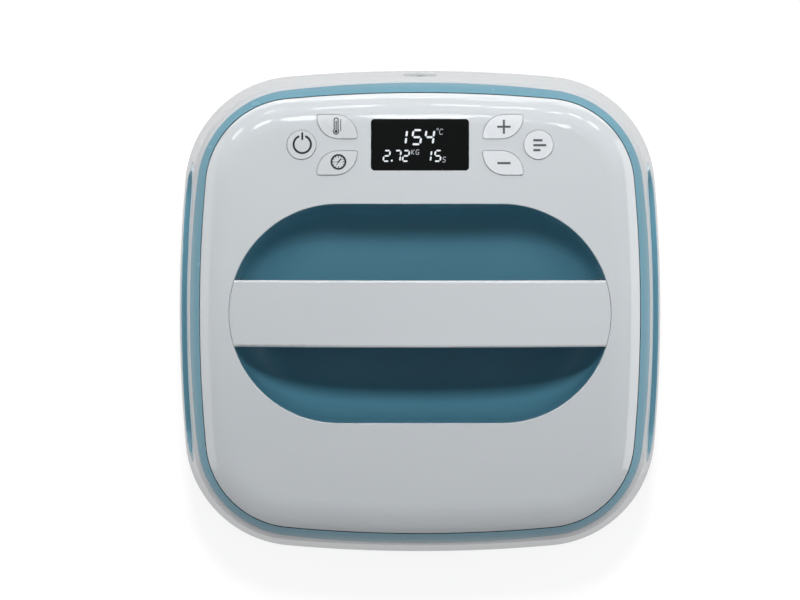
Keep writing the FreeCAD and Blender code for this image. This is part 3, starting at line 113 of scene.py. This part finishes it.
class Finish:
    """A material round one Principled shader; what is the same all over is set on its own sockets."""

    def __init__(self, name, **fixed):
        self.material = bpy.data.materials.new(name)
        self.material.use_nodes = True
        self.tree = self.material.node_tree
        self.shader = self.tree.nodes["Principled BSDF"]
        for socket, value in fixed.items():
            self.put(socket.replace("_", " "), value)
        self.place = self.node("ShaderNodeTexCoord", {}, {}, "Object")

    def put(self, socket, value):
        """Give one of the shader's sockets a value or a link."""
        self.feed(self.shader.inputs[socket], value)

    def feed(self, socket, value):
        """Link a value to a socket, or set a colour or a number on it."""
        if isinstance(value, Value):
            self.tree.links.new(value.socket, socket)
        elif isinstance(value, tuple):
            socket.default_value = (*value, 1.0)
        else:
            socket.default_value = value

    def node(self, kind, settings, inputs, output=0):
        """Add a node: its settings first, then the values or links of its sockets."""
        item = self.tree.nodes.new(kind)
        for name, value in settings.items():
            if name == "stops":
                for stop, (position, level) in zip(item.color_ramp.elements, value):
                    stop.position = position
                    stop.color = (*grey(level), 1.0)
            else:
                setattr(item, name, value)
        for key, value in inputs.items():
            self.feed(item.inputs[key], value)
        return Value(self, item.outputs[output])

    def noise(self, scale, detail=3.0, place=None):
        """Cloudy noise from 0 to 1, its scale counted per metre."""
        sockets = {"Vector": place or self.place, "Scale": scale, "Detail": detail}
        return self.node("ShaderNodeTexNoise", {}, sockets)

    def stretched(self, x, y, z):
        """The place on the piece, stretched so that a pattern runs along one way."""
        sockets = {"Vector": self.place, "Scale": Vector((x, y, z))}
        return self.node("ShaderNodeMapping", {}, sockets)

    def part(self, axis):
        """One coordinate of the place on the piece."""
        return self.node("ShaderNodeSeparateXYZ", {}, {"Vector": self.place}, axis)

    def between(self, amount, first, second):
        """Blend two colours."""
        sockets = {0: amount, 6: first, 7: second}
        return self.node("ShaderNodeMix", {"data_type": "RGBA"}, sockets, 2)

    def grain(self, height, strength, depth):
        """Raise a fine relief on the surface."""
        sockets = {"Strength": strength, "Distance": depth, "Height": height}
        self.put("Normal", self.node("ShaderNodeBump", {}, sockets))


# ---- finishes of mouldings, glass, ink, metals and boards ---------------------------------------

def gloss_moulding(name, colour, shade):
    """Polished plastic: faint flow marks in the colour, waviness and handling marks in the gloss."""
    finish = Finish(name, IOR=1.5)
    flow = finish.noise(9.0, detail=4.0, place=finish.stretched(1.0, 2.4, 1.0)).rise(0.35, 0.65)
    finish.put("Base Color", finish.between(flow, colour, shade))
    marks = finish.noise(420.0, detail=2.0).rise(0.55, 0.75)
    finish.put("Roughness", finish.noise(30.0) * 0.02 + marks * 0.03 + 0.03)
    waves = finish.noise(260.0, detail=1.0) + finish.noise(1900.0, detail=1.0) * 0.1
    finish.grain(waves, strength=0.02, depth=0.1 * MM)
    return finish.material


def satin_moulding(name, colour, shade, roughness, **fixed):
    """Spark-eroded plastic with a fine matt grain."""
    finish = Finish(name, IOR=1.5, **fixed)
    cloud = finish.noise(14.0).rise(0.3, 0.7)
    finish.put("Base Color", finish.between(cloud, colour, shade))
    finish.put("Roughness", finish.noise(55.0, detail=2.0) * 0.08 + roughness)
    pits = finish.noise(2600.0, detail=2.0) + finish.noise(900.0, detail=1.0) * 0.5
    finish.grain(pits, strength=0.12, depth=0.1 * MM)
    return finish.material


def dull_part(name, colour, shade, roughness, scale=300.0):
    """Plain moulded or potted part with a mottled, slightly rough face."""
    finish = Finish(name, IOR=1.5)
    mottle = finish.noise(scale)
    finish.put("Base Color", finish.between(mottle, colour, shade))
    finish.put("Roughness", mottle * 0.15 + roughness)
    finish.grain(finish.noise(scale * 5.0, detail=1.0), strength=0.15, depth=0.06 * MM)
    return finish.material


def display_glass(name):
    """Black acrylic: deep gloss with a trace of haze."""
    finish = Finish(name, IOR=1.38)
    haze = finish.noise(18.0, detail=2.0)
    finish.put("Base Color", finish.between(haze, (0.0022, 0.0026, 0.0026), (0.0036, 0.004, 0.004)))
    finish.put("Roughness", haze * 0.05 + 0.07)
    return finish.material


def lit_segment(name, dim, bright):
    """Back-lit segments, a little brighter in some places than in others."""
    finish = Finish(name, Base_Color=grey(0.02), Roughness=0.5, Emission_Strength=1.0)
    finish.put("Emission Color", finish.between(finish.noise(160.0, detail=1.0), dim, bright))
    return finish.material


def printed_ink(name, colour):
    """Pad-printed ink, a little uneven in tone."""
    finish = Finish(name, IOR=1.45)
    tone = finish.noise(700.0, detail=2.0)
    thin = tuple(level * 1.35 + 0.004 for level in colour)
    finish.put("Base Color", finish.between(tone, colour, thin))
    finish.put("Roughness", tone * 0.2 + 0.42)
    return finish.material


def rolled_metal(name, colour, shade, roughness, run=(1.0, 30.0, 30.0)):
    """Metal with drawing marks along one way and dull patches."""
    finish = Finish(name, Metallic=1.0)
    lines = finish.noise(60.0, place=finish.stretched(*run))
    patches = finish.noise(22.0, detail=4.0)
    finish.put("Base Color", finish.between(patches, colour, shade))
    finish.put("Roughness", lines * 0.18 + patches * 0.12 + roughness)
    finish.grain(lines, strength=0.12, depth=0.08 * MM)
    return finish.material


def coated_plate(name):
    """Aluminium with a dark non-stick coat: a fine speckle under a thin veil of dust."""
    finish = Finish(name, IOR=1.45)
    speckle = finish.noise(3200.0, detail=1.0).rise(0.46, 0.6)
    dust = finish.noise(11.0, detail=4.0)
    coat = finish.between(speckle, (0.115, 0.12, 0.125), (0.16, 0.165, 0.17))
    finish.put("Base Color", finish.between(dust * 0.5, coat, grey(0.14)))
    finish.put("Roughness", dust * 0.12 + speckle * 0.08 + 0.34)
    finish.grain(finish.noise(1500.0, detail=2.0), strength=0.15, depth=0.06 * MM)
    return finish.material


def fibre_mat(name):
    """Needled glass fibre: crossed strands with a soft relief."""
    finish = Finish(name, Roughness=0.95)
    lengthwise = finish.noise(260.0, detail=2.0, place=finish.stretched(1.0, 9.0, 4.0))
    crosswise = finish.noise(260.0, detail=2.0, place=finish.stretched(9.0, 1.0, 4.0))
    strands = lengthwise + crosswise
    tone = (strands * 0.5).rise(0.35, 0.68)
    finish.put("Base Color", finish.between(tone, (0.55, 0.53, 0.47), (0.78, 0.76, 0.7)))
    finish.grain(strands, strength=0.7, depth=0.5 * MM)
    return finish.material


def board_laminate(name):
    """Green circuit board: wandering copper runs under the mask, crossed by others in some places."""
    finish = Finish(name, IOR=1.5)
    wander = finish.noise(45.0, detail=2.0) * 0.006
    runs = (finish.part("X") + wander).to_and_fro(1.6 * MM).fall(0.22, 0.3)
    crossings = (finish.part("Y") + wander).to_and_fro(2.3 * MM).fall(0.2, 0.27)
    copper = runs.larger(crossings * finish.noise(38.0).rise(0.5, 0.52))
    finish.put("Base Color", finish.between(copper, (0.008, 0.06, 0.022), (0.03, 0.16, 0.05)))
    finish.put("Roughness", finish.noise(80.0) * 0.1 + 0.28)
    finish.grain(copper, strength=0.3, depth=0.04 * MM)
    return finish.material


def laminated_core(name):
    """A stack of iron sheets seen edge on, with traces of rust."""
    finish = Finish(name, IOR=1.5)
    sheets = finish.part("Z").to_and_fro(0.5 * MM)
    rust = finish.noise(120.0)
    tone = sheets.rise(0.1, 0.5) * rust
    finish.put("Base Color", finish.between(tone, (0.09, 0.085, 0.08), (0.2, 0.19, 0.175)))
    finish.put("Roughness", rust * 0.2 + 0.4)
    finish.grain(sheets, strength=0.5, depth=0.08 * MM)
    return finish.material


# ---- which piece gets which finish --------------------------------------------------------------

WHITE, WHITE_SHADE = (0.635, 0.662, 0.682), (0.62, 0.648, 0.668)
TEAL, TEAL_SHADE = (0.112, 0.315, 0.412), (0.105, 0.303, 0.398)
# painted light: the side grips are the band's teal, lightened here to stand in for the light and sheen
# that brighten them
PAINTED_LIGHT_GRIP_TEAL, PAINTED_LIGHT_GRIP_MOTTLE = (0.2, 0.455, 0.57), (0.19, 0.44, 0.555)
POCKET_TEAL, POCKET_SHADE = (0.078, 0.228, 0.31), (0.072, 0.217, 0.297)
KEY_WHITE, KEY_SHADE = (0.645, 0.662, 0.678), (0.63, 0.648, 0.664)
BRIGHT_WHITE, BRIGHT_SHADE = (0.745, 0.765, 0.785), (0.73, 0.75, 0.77)


def dress(material, *nodes):
    """Give CAD nodes their finish."""
    for node in nodes:
        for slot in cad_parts[node].material_slots:
            slot.material = material


def dress_outside():
    """Housing, handle, band, grips, bowl, keys, window, gland, rim and plate."""
    dress(gloss_moulding("gloss_white", WHITE, WHITE_SHADE),
          "top_shell", "lower_housing", "handle_upper", "handle_lower")
    dress(satin_moulding("satin_teal", TEAL, TEAL_SHADE, 0.22, Sheen_Weight=0.3, Sheen_Roughness=0.4,
                         Coat_Weight=0.7, Coat_Roughness=0.2),
          "accent_ring")
    # painted light: the grips get a lighter copy of the band's teal in place of the light that falls on
    # them
    dress(satin_moulding("grip_teal_painted_light", PAINTED_LIGHT_GRIP_TEAL, PAINTED_LIGHT_GRIP_MOTTLE, 0.3, Sheen_Weight=0.5, Sheen_Roughness=0.4),
          "side_grip_left", "side_grip_right")
    dress(satin_moulding("matt_teal", POCKET_TEAL, POCKET_SHADE, 0.36), "pocket_liner")
    dress(satin_moulding("key_white", KEY_WHITE, KEY_SHADE, 0.22),
          "power_key", "temperature_key", "timer_key")
    dress(satin_moulding("key_bright", BRIGHT_WHITE, BRIGHT_SHADE, 0.22),
          "preset_key", "plus_key", "minus_key")
    dress(display_glass("display_black"), "display_window")
    # painted shade: the cord gland is white like the shell, and its pale grey stands in for the shade
    # along its edges
    dress(dull_part("gland_painted_shade_grey", (0.5, 0.52, 0.535), (0.46, 0.48, 0.495), 0.45), "cord_gland")
    dress(dull_part("rim_nylon", (0.04, 0.042, 0.044), (0.055, 0.057, 0.06), 0.5, scale=700.0),
          "plate_frame")
    dress(coated_plate("plate_coat"), "heating_plate")


def dress_heater():
    """Element, mat, sheets, cells, sensors and all screws."""
    dress(rolled_metal("element_tube", (0.34, 0.31, 0.28), (0.45, 0.42, 0.39), 0.3), "heating_element")
    dress(fibre_mat("fibre"), "insulation_mat")
    dress(rolled_metal("zinc_sheet", (0.6, 0.61, 0.62), (0.72, 0.73, 0.74), 0.28),
          "heat_shield", "handle_strap")
    dress(rolled_metal("turned_steel", grey(0.56), (0.66, 0.66, 0.65), 0.24, run=(30.0, 30.0, 2.0)),
          "plate_standoffs", "load_cells", "thermostat", "temperature_sensor")
    dress(rolled_metal("screw_steel", (0.5, 0.49, 0.47), (0.6, 0.59, 0.57), 0.26, run=(20.0, 20.0, 60.0)),
          "handle_screws", "housing_screws", "frame_screws", "board_screws", "liner_screws",
          "cell_screws", "clamp_screws")


def dress_electrics():
    """Boards and what they carry, the cord's clamp and the domes under the keys."""
    dress(board_laminate("circuit_board"), "power_board", "control_board")
    dress(dull_part("relay_case", (0.02, 0.09, 0.28), (0.03, 0.12, 0.34), 0.35), "relay")
    dress(laminated_core("core_iron"), "transformer")
    dress(dull_part("capacitor_sleeve", (0.012, 0.014, 0.02), (0.02, 0.022, 0.03), 0.25), "capacitor")
    dress(dull_part("terminal_nylon", (0.62, 0.62, 0.58), (0.7, 0.7, 0.66), 0.4), "terminal_block")
    dress(dull_part("clamp_nylon", grey(0.03), grey(0.045), 0.45), "cord_clamp")
    dress(dull_part("chip_epoxy", (0.014, 0.014, 0.015), (0.022, 0.022, 0.023), 0.4, scale=900.0),
          "control_chips", "buzzer", "tilt_switch")
    dress(dull_part("module_frame", (0.07, 0.07, 0.075), (0.1, 0.1, 0.105), 0.4), "display_module")
    dress(dull_part("dome_rubber", (0.35, 0.36, 0.36), (0.42, 0.43, 0.43), 0.55),
          "power_dome", "preset_dome", "temperature_dome", "timer_dome", "plus_dome", "minus_dome")


dress_outside()
dress_heater()
dress_electrics()


# ---- marks that lie on a piece ------------------------------------------------------------------

# how far a mark stands out of the face and reaches into it, in millimetres
PRINT_DEPTH = 0.05
# corners of a mark that are nearer to each other than this are merged, in millimetres
MERGE_DISTANCE = 0.001
# the gap at either end of a segment, as a share of its width
SEGMENT_GAP = 0.28
# the height that the corners are dropped from, in metres
DROP_HEIGHT = 1.0


class Print:
    """Flat marks drawn in plan, in millimetres, then laid on a node's top face."""

    def __init__(self, across, along, slant=0.0):
        self.shape = bmesh.new()
        self.across = across
        self.along = along
        self.slant = slant

    def settle(self, corners, middle, turn=0.0):
        """Move new corners to their place in the mark."""
        matrix = Matrix.Rotation(turn, 3, "Z")
        bmesh.ops.rotate(self.shape, verts=corners, cent=Vector(), matrix=matrix)
        bmesh.ops.translate(self.shape, verts=corners, vec=Vector((*middle, 0.0)))

    def disc(self, middle, radius):
        """A full round dot."""
        made = bmesh.ops.create_circle(self.shape, cap_ends=True, cap_tris=True, segments=32,
                                       radius=radius)
        self.settle(made["verts"], middle)

    def stroke(self, start, end, width, steps=4):
        """A straight bar with square ends."""
        start, end = Vector(start), Vector(end)
        run = end - start
        made = bmesh.ops.create_grid(self.shape, x_segments=steps, y_segments=1, size=0.5)
        bmesh.ops.scale(self.shape, verts=made["verts"], vec=Vector((run.length, width, 1.0)))
        self.settle(made["verts"], (start + end) / 2, math.atan2(run.y, run.x))

    def arc(self, middle, radius, width, start=0, sweep=360, steps=48):
        """A curved bar round a middle, with its start and sweep in degrees."""
        older = set(self.shape.verts)
        edge = [self.shape.verts.new((radius + side * width / 2, 0.0, 0.0)) for side in (-1, 1)]
        line = self.shape.edges.new(edge)
        turn = Matrix.Rotation(math.radians(start), 3, "Z")
        bmesh.ops.rotate(self.shape, verts=edge, cent=Vector(), matrix=turn)
        bmesh.ops.spin(self.shape, geom=edge + [line], cent=Vector(), axis=Vector((0, 0, 1)),
                       angle=math.radians(sweep), steps=steps, use_merge=(sweep == 360))
        self.settle([corner for corner in self.shape.verts if corner not in older], middle)

    def segment(self, start, end, width):
        """A bar with pointed ends, clear of its neighbours, as in a seven-segment figure."""
        start, end = Vector(start), Vector(end)
        along = (end - start).normalized()
        side = Vector((-along.y, along.x)) * width / 2
        tip = along * width / 2
        gap = along * SEGMENT_GAP * width
        start, end = start + gap, end - gap
        outline = (start, start + tip + side, end - tip + side, end, end - tip - side,
                   start + tip - side)
        self.shape.faces.new([self.shape.verts.new((*corner, 0.0)) for corner in outline])

    def lay(self, name, node, body, material, slot):
        """Give the mark its thickness, let it follow the node's top face and ride on a body."""
        shape = self.shape
        for corner in shape.verts:
            corner.co.x += self.across + self.slant * corner.co.y
            corner.co.y += self.along
        bmesh.ops.remove_doubles(shape, verts=shape.verts, dist=MERGE_DISTANCE)
        bmesh.ops.scale(shape, verts=shape.verts, vec=Vector((MM, MM, MM)))
        raised = bmesh.ops.extrude_face_region(shape, geom=list(shape.faces))
        tops = {corner for corner in raised["geom"] if isinstance(corner, bmesh.types.BMVert)}
        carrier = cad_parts[node].data
        face = BVHTree.FromPolygons([corner.co for corner in carrier.vertices],
                                    [polygon.vertices for polygon in carrier.polygons])
        for corner in shape.verts:
            above = Vector((corner.co.x, corner.co.y, DROP_HEIGHT))
            hit = face.ray_cast(above, Vector((0, 0, -1)))[0]
            corner.co.z = hit.z + (PRINT_DEPTH if corner in tops else -PRINT_DEPTH) * MM
        bmesh.ops.recalc_face_normals(shape, faces=shape.faces)
        piece = add_mesh(name, shape, material)
        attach(piece, body)


# ---- signs on the keys --------------------------------------------------------------------------

INK_DARK = printed_ink("ink_dark", (0.009, 0.012, 0.015))
INK_GREY = printed_ink("ink_grey", (0.075, 0.081, 0.088))


def start_sign(key, across, along):
    """Start a sign a little off the middle of a key."""
    low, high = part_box(f"{key}_key")
    middle = (low + high) / 2 / MM
    return Print(middle.x + across, middle.y + along)


def print_sign(sign, key, ink):
    """Print a finished sign on a key, which takes it along."""
    sign.lay(f"{key}_sign", f"{key}_key", f"{key}_button", ink, "key")


def power_sign():
    """A ring that is open at the top, with a bar in the gap."""
    sign = start_sign("power", across=0.5, along=0.25)
    sign.arc((0, 0), radius=5.1, width=1.25, start=110, sweep=320)
    sign.stroke((0, 2.6), (0, 7.0), width=1.1)
    print_sign(sign, "power", INK_DARK)


def temperature_sign():
    """A thermometer with its bulb and column, and a line beside it."""
    sign = start_sign("temperature", across=-0.55, along=-2.9)
    tube_half, tube_top, line = 1.15, 6.9, 0.6
    sign.arc((0, tube_top), radius=tube_half, width=line, start=0, sweep=180, steps=16)
    for side in (-tube_half, tube_half):
        sign.stroke((side, tube_top), (side, 1.1), width=line)
    sign.arc((0, 0), radius=1.5, width=line, start=125, sweep=290, steps=24)
    sign.disc((0, 0), radius=0.8)
    sign.stroke((0, 0.5), (0, 6.4), width=line)
    sign.stroke((2.7, 0.3), (2.7, 7.5), width=0.45)
    print_sign(sign, "temperature", INK_DARK)


def timer_sign():
    """A clock face with twelve ticks and its hands."""
    sign = start_sign("timer", across=0.85, along=0.55)
    sign.arc((0, 0), radius=4.1, width=1.1)
    for hour in range(12):
        way = Vector((math.cos(hour * math.pi / 6), math.sin(hour * math.pi / 6)))
        inner = 2.9 if hour % 3 else 2.5
        sign.stroke(way * inner, way * 3.65, width=0.45, steps=1)
    sign.stroke((0, 0), (1.75, 2.0), width=0.75)
    sign.stroke((-1.2, -1.9), (0, 0), width=0.35)
    sign.stroke((-2.4, -0.1), (0, -0.1), width=0.3)
    sign.disc((0, 0), radius=0.5)
    print_sign(sign, "timer", INK_DARK)


def plus_sign():
    """One bar across, and an arm above and below it."""
    sign = start_sign("plus", across=0.55, along=-0.05)
    width = 1.25
    sign.stroke((-3.95, 0), (3.95, 0), width, steps=6)
    for side in (-1, 1):
        sign.stroke((0, side * width / 2), (0, side * 4.15), width)
    print_sign(sign, "plus", INK_GREY)


def minus_sign():
    """One bar across."""
    sign = start_sign("minus", across=0.55, along=-0.15)
    sign.stroke((-3.9, 0), (3.9, 0), width=1.3, steps=6)
    print_sign(sign, "minus", INK_GREY)


def preset_sign():
    """Three plain bars of unlike length, one under the other."""
    sign = start_sign("preset", across=0.7, along=-0.25)
    left, top, pitch = -3.8, 2.9, 2.9
    for row, length in enumerate((5.4, 7.6, 4.2)):
        height = top - pitch * row
        sign.stroke((left, height), (left + length, height), width=1.35)
    print_sign(sign, "preset", INK_GREY)


power_sign()
temperature_sign()
timer_sign()
plus_sign()
minus_sign()
preset_sign()


# ---- lit figures in the window ------------------------------------------------------------------

LIT = lit_segment("lit_segment", (0.66, 0.73, 0.79), (0.95, 0.98, 1.0))
LIT_SMALL = lit_segment("lit_small", (0.3, 0.33, 0.36), (0.46, 0.49, 0.53))

# the upper row stands high above the window's lower edge, the lower row nearer to it
WINDOW_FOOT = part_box("display_window")[0].y / MM
HEAT_FOOT, HEAT_HEIGHT, HEAT_STROKE = WINDOW_FOOT + 16.9, 8.3, 1.2
LOAD_FOOT, LOAD_HEIGHT, LOAD_STROKE = WINDOW_FOOT + 6.95, 6.2, 0.92
LETTER_STROKE = 0.4
SLANT = 0.12

# the figures of each reading, with their left end and width
HEAT = (("1", -13.2, 4.65), ("5", -4.85, 4.97), ("4", 2.8, 4.65))
LOAD = (("2", -21.6, 3.35), ("7", -15.2, 3.35), ("2", -10.3, 3.35))
TIME = (("1", 2.7, 3.4), ("5", 8.4, 3.4))

# what is lit in a figure: top, upper left, upper right, middle, lower left, lower right, bottom
FIGURES = {"1": "0010010", "2": "1011101", "4": "0111010", "5": "1101011", "7": "1010010"}

# the corners of each letter on a unit square; None lifts the pen
LETTER_C = ((1, 0.85), (0.7, 1), (0.3, 1), (0, 0.7), (0, 0.3), (0.3, 0), (0.7, 0), (1, 0.15))
LETTER_K = ((0, 0), (0, 1), None, (0.95, 1), (0.05, 0.45), (0.95, 0))
LETTER_G = (*LETTER_C[:6], (1, 0), (1, 0.45), (0.6, 0.45))
LETTER_S = ((1, 0.9), (0.7, 1), (0.3, 1), (0, 0.75), (0.3, 0.5), (0.7, 0.5), (1, 0.25), (0.7, 0),
            (0.3, 0), (0, 0.1))


def reading(foot, height, stroke, figures):
    """Draw the seven-segment figures of one reading."""
    marks = Print(0.0, foot, SLANT)
    middle = height / 2
    for character, left, width in figures:
        right = left + width
        places = (((left, height), (right, height)), ((left, middle), (left, height)),
                  ((right, middle), (right, height)), ((left, middle), (right, middle)),
                  ((left, 0), (left, middle)), ((right, 0), (right, middle)),
                  ((left, 0), (right, 0)))
        for lit, (start, end) in zip(FIGURES[character], places):
            if lit == "1":
                marks.segment(start, end, stroke)
    return marks


def letter(marks, corners, left, foot, width, height):
    """Draw a small letter with thin strokes."""
    for start, end in zip(corners, corners[1:]):
        if start and end:
            marks.stroke((left + start[0] * width, foot + start[1] * height),
                         (left + end[0] * width, foot + end[1] * height), LETTER_STROKE, steps=1)


def light_up(name, marks, material):
    """Lay lit marks on the window."""
    marks.lay(name, "display_window", "root", material, "window")


def light_heat():
    """154 degrees."""
    light_up("display_heat", reading(HEAT_FOOT, HEAT_HEIGHT, HEAT_STROKE, HEAT), LIT)


def light_load():
    """2.72 kilograms."""
    marks = reading(LOAD_FOOT, LOAD_HEIGHT, LOAD_STROKE, LOAD)
    marks.disc((-16.6, 0.3), radius=0.6)
    light_up("display_load", marks, LIT)


def light_time():
    """15 seconds."""
    light_up("display_time", reading(LOAD_FOOT, LOAD_HEIGHT, LOAD_STROKE, TIME), LIT)


def light_units():
    """The small letters and the ring of the degree sign beside the figures."""
    marks = Print(0.0, LOAD_FOOT, SLANT)
    letter(marks, LETTER_K, left=-5.6, foot=3.95, width=1.7, height=2.75)
    letter(marks, LETTER_G, left=-3.0, foot=3.95, width=1.7, height=2.75)
    letter(marks, LETTER_S, left=13.2, foot=-0.6, width=1.75, height=3.1)
    letter(marks, LETTER_C, left=9.4, foot=15.7, width=1.95, height=3.2)
    marks.arc((8.1, 18.8), radius=0.5, width=0.34, steps=12)
    light_up("display_units", marks, LIT_SMALL)


light_heat()
light_load()
light_time()
light_units()


# ---- table --------------------------------------------------------------------------------------

TABLE_HALF = 6.0
TABLE_DROP = 0.1 * MM
SEEN_GLOW, MIRRORED_GLOW = 0.86, 0.5
TABLE_GREY, SEEN_GREY = 0.35, 0.24


def lay_table():
    """A white table, lit from within where it is seen, that keeps a faint shadow."""
    finish = Finish("table_white", Roughness=0.9, Emission_Strength=1.0, Specular_IOR_Level=0.0)
    seen, glossed, passed = [finish.node("ShaderNodeLightPath", {}, {}, ray)
                             for ray in ("Is Camera Ray", "Is Glossy Ray", "Is Transmission Ray")]
    glow = seen * SEEN_GLOW + (glossed + passed) * MIRRORED_GLOW
    finish.put("Base Color", finish.between(seen, grey(TABLE_GREY), grey(SEEN_GREY)))
    finish.put("Emission Color", finish.between(glow, grey(0.0), grey(1.0)))
    shape = bmesh.new()
    bmesh.ops.create_grid(shape, x_segments=1, y_segments=1, size=TABLE_HALF)
    bmesh.ops.translate(shape, verts=shape.verts, vec=Vector((0.0, 0.0, -TABLE_DROP)))
    add_mesh("table", shape, finish.material)


# ---- light --------------------------------------------------------------------------------------

NEUTRAL, DAYLIGHT, ROOM_AIR = grey(1.0), (0.96, 0.98, 1.0), (0.92, 0.96, 1.0)
ROOM_STRENGTH = 0.22

# the point that all lamps face, and how far the cards and strips are from it, in metres
LAMP_AIM = Vector((0.0, 0.12, 0.1))
CARD_DISTANCE = 2.24
STRIP_DISTANCE = 4.0

# rows of ceiling strips: elevation, height in degrees, brightness, first and last azimuth of each
STRIP_ROWS = (
    (8.0, 2.4, 5.4, ((-17, -11.5), (-9, -4))),
    (10.5, 2.4, 5.4, ((-2, 2),)),
    (14.0, 3.0, 5.6, ((4.5, 11.3), (16, 25))),
    (27.0, 3.6, 6.6, ((-28, -21), (-18.5, -15.5))),
    (31.5, 3.6, 7.2, ((-13.2, -4.6), (1.2, 7), (8.4, 14), (25, 33))),
    (35.5, 3.4, 6.6, ((16.4, 22),)),
    (29.0, 7.0, 6.0, ((-53, -44), (37, 45))),
    (45.5, 8.0, 7.6, ((-40, -29),)),
    (53.0, 9.0, 7.6, ((-25, -16.5),)),
    (57.5, 4.2, 7.6, ((-12, 14),)),
    (61.0, 3.0, 7.6, ((16, 25), (28, 37))),
)


def soft_lamp(name, azimuth, elevation, distance, width, height, brightness, colour=NEUTRAL):
    """A rectangular lamp; azimuth is measured from the rear of the press towards its right."""
    data = bpy.data.lights.new(name, "AREA")
    data.shape = "RECTANGLE"
    data.size, data.size_y = width, height
    data.energy = brightness * math.pi * width * height
    data.color = colour
    turn, rise = math.radians(azimuth), math.radians(elevation)
    towards = Vector((math.sin(turn) * math.cos(rise), math.cos(turn) * math.cos(rise),
                      math.sin(rise)))
    lamp = add_object(name, data)
    lamp.location = LAMP_AIM + towards * distance
    lamp.rotation_euler = towards.to_track_quat("Z", "Y").to_euler()
    return lamp


def set_key():
    """One strong lamp high over the rear, which isn't mirrored."""
    lamp = soft_lamp("key", azimuth=0, elevation=67, distance=1.13, width=0.2, height=0.2,
                     brightness=71)
    lamp.visible_glossy = False


def set_wall():
    """A pale wall behind the press, which is only mirrored, and a bright horizon at its foot."""
    wall = soft_lamp("wall", azimuth=0, elevation=29, distance=2.5, width=8.0, height=4.0,
                     brightness=0.45, colour=DAYLIGHT)
    wall.visible_diffuse = False
    soft_lamp("horizon", azimuth=0, elevation=4, distance=2.1, width=5.0, height=0.45, brightness=3.5)


def set_cards():
    """White cards, low on three sides."""
    soft_lamp("card_right", 88, 10, CARD_DISTANCE, width=2.6, height=0.9, brightness=2.6)
    soft_lamp("card_left", -88, 10, CARD_DISTANCE, width=2.6, height=0.9, brightness=1.5)
    soft_lamp("card_front", 180, 18, CARD_DISTANCE, width=3.0, height=1.0, brightness=0.3)


def across_angle(distance, degrees):
    """The width that spans an angle at a distance."""
    return 2 * distance * math.tan(math.radians(degrees) / 2)


def set_strips():
    """Rows of ceiling strips, which the polished mouldings mirror as broken lines."""
    for elevation, height, brightness, spans in STRIP_ROWS:
        reach = STRIP_DISTANCE * math.cos(math.radians(elevation))
        for start, end in spans:
            strip = soft_lamp(f"strip_{elevation:.0f}_{start + 90:.0f}", (start + end) / 2, elevation,
                              STRIP_DISTANCE, across_angle(reach, end - start),
                              across_angle(STRIP_DISTANCE, height), brightness)
            strip.visible_diffuse = False


def fill_room():
    """A dim room with a faintly blue air."""
    room = bpy.data.worlds.new("room")
    room.use_nodes = True
    air = room.node_tree.nodes["Background"]
    air.inputs["Color"].default_value = (*ROOM_AIR, 1.0)
    air.inputs["Strength"].default_value = ROOM_STRENGTH
    bpy.context.scene.world = room


# ---- camera -------------------------------------------------------------------------------------

# where it stands, in metres, then its lens and sensor in millimetres
CAMERA_HEIGHT, CAMERA_ALONG = 3.0, 0.052
LENS, SENSOR = 223.2, 36.0
SHIFT_X, SHIFT_Y = -0.025, 0.01375


def set_camera():
    """Above the press, a degree towards its rear."""
    data = bpy.data.cameras.new("above")
    data.sensor_width = SENSOR
    data.lens = LENS
    data.shift_x, data.shift_y = SHIFT_X, SHIFT_Y
    camera = add_object("above", data)
    camera.location = (0.0, CAMERA_ALONG, CAMERA_HEIGHT)
    camera.rotation_euler = (-math.atan2(CAMERA_ALONG, CAMERA_HEIGHT), 0.0, 0.0)
    bpy.context.scene.camera = camera


lay_table()
set_key()
set_wall()
set_cards()
set_strips()
fill_room()
set_camera()
bpy.context.scene.view_settings.view_transform = "Standard"
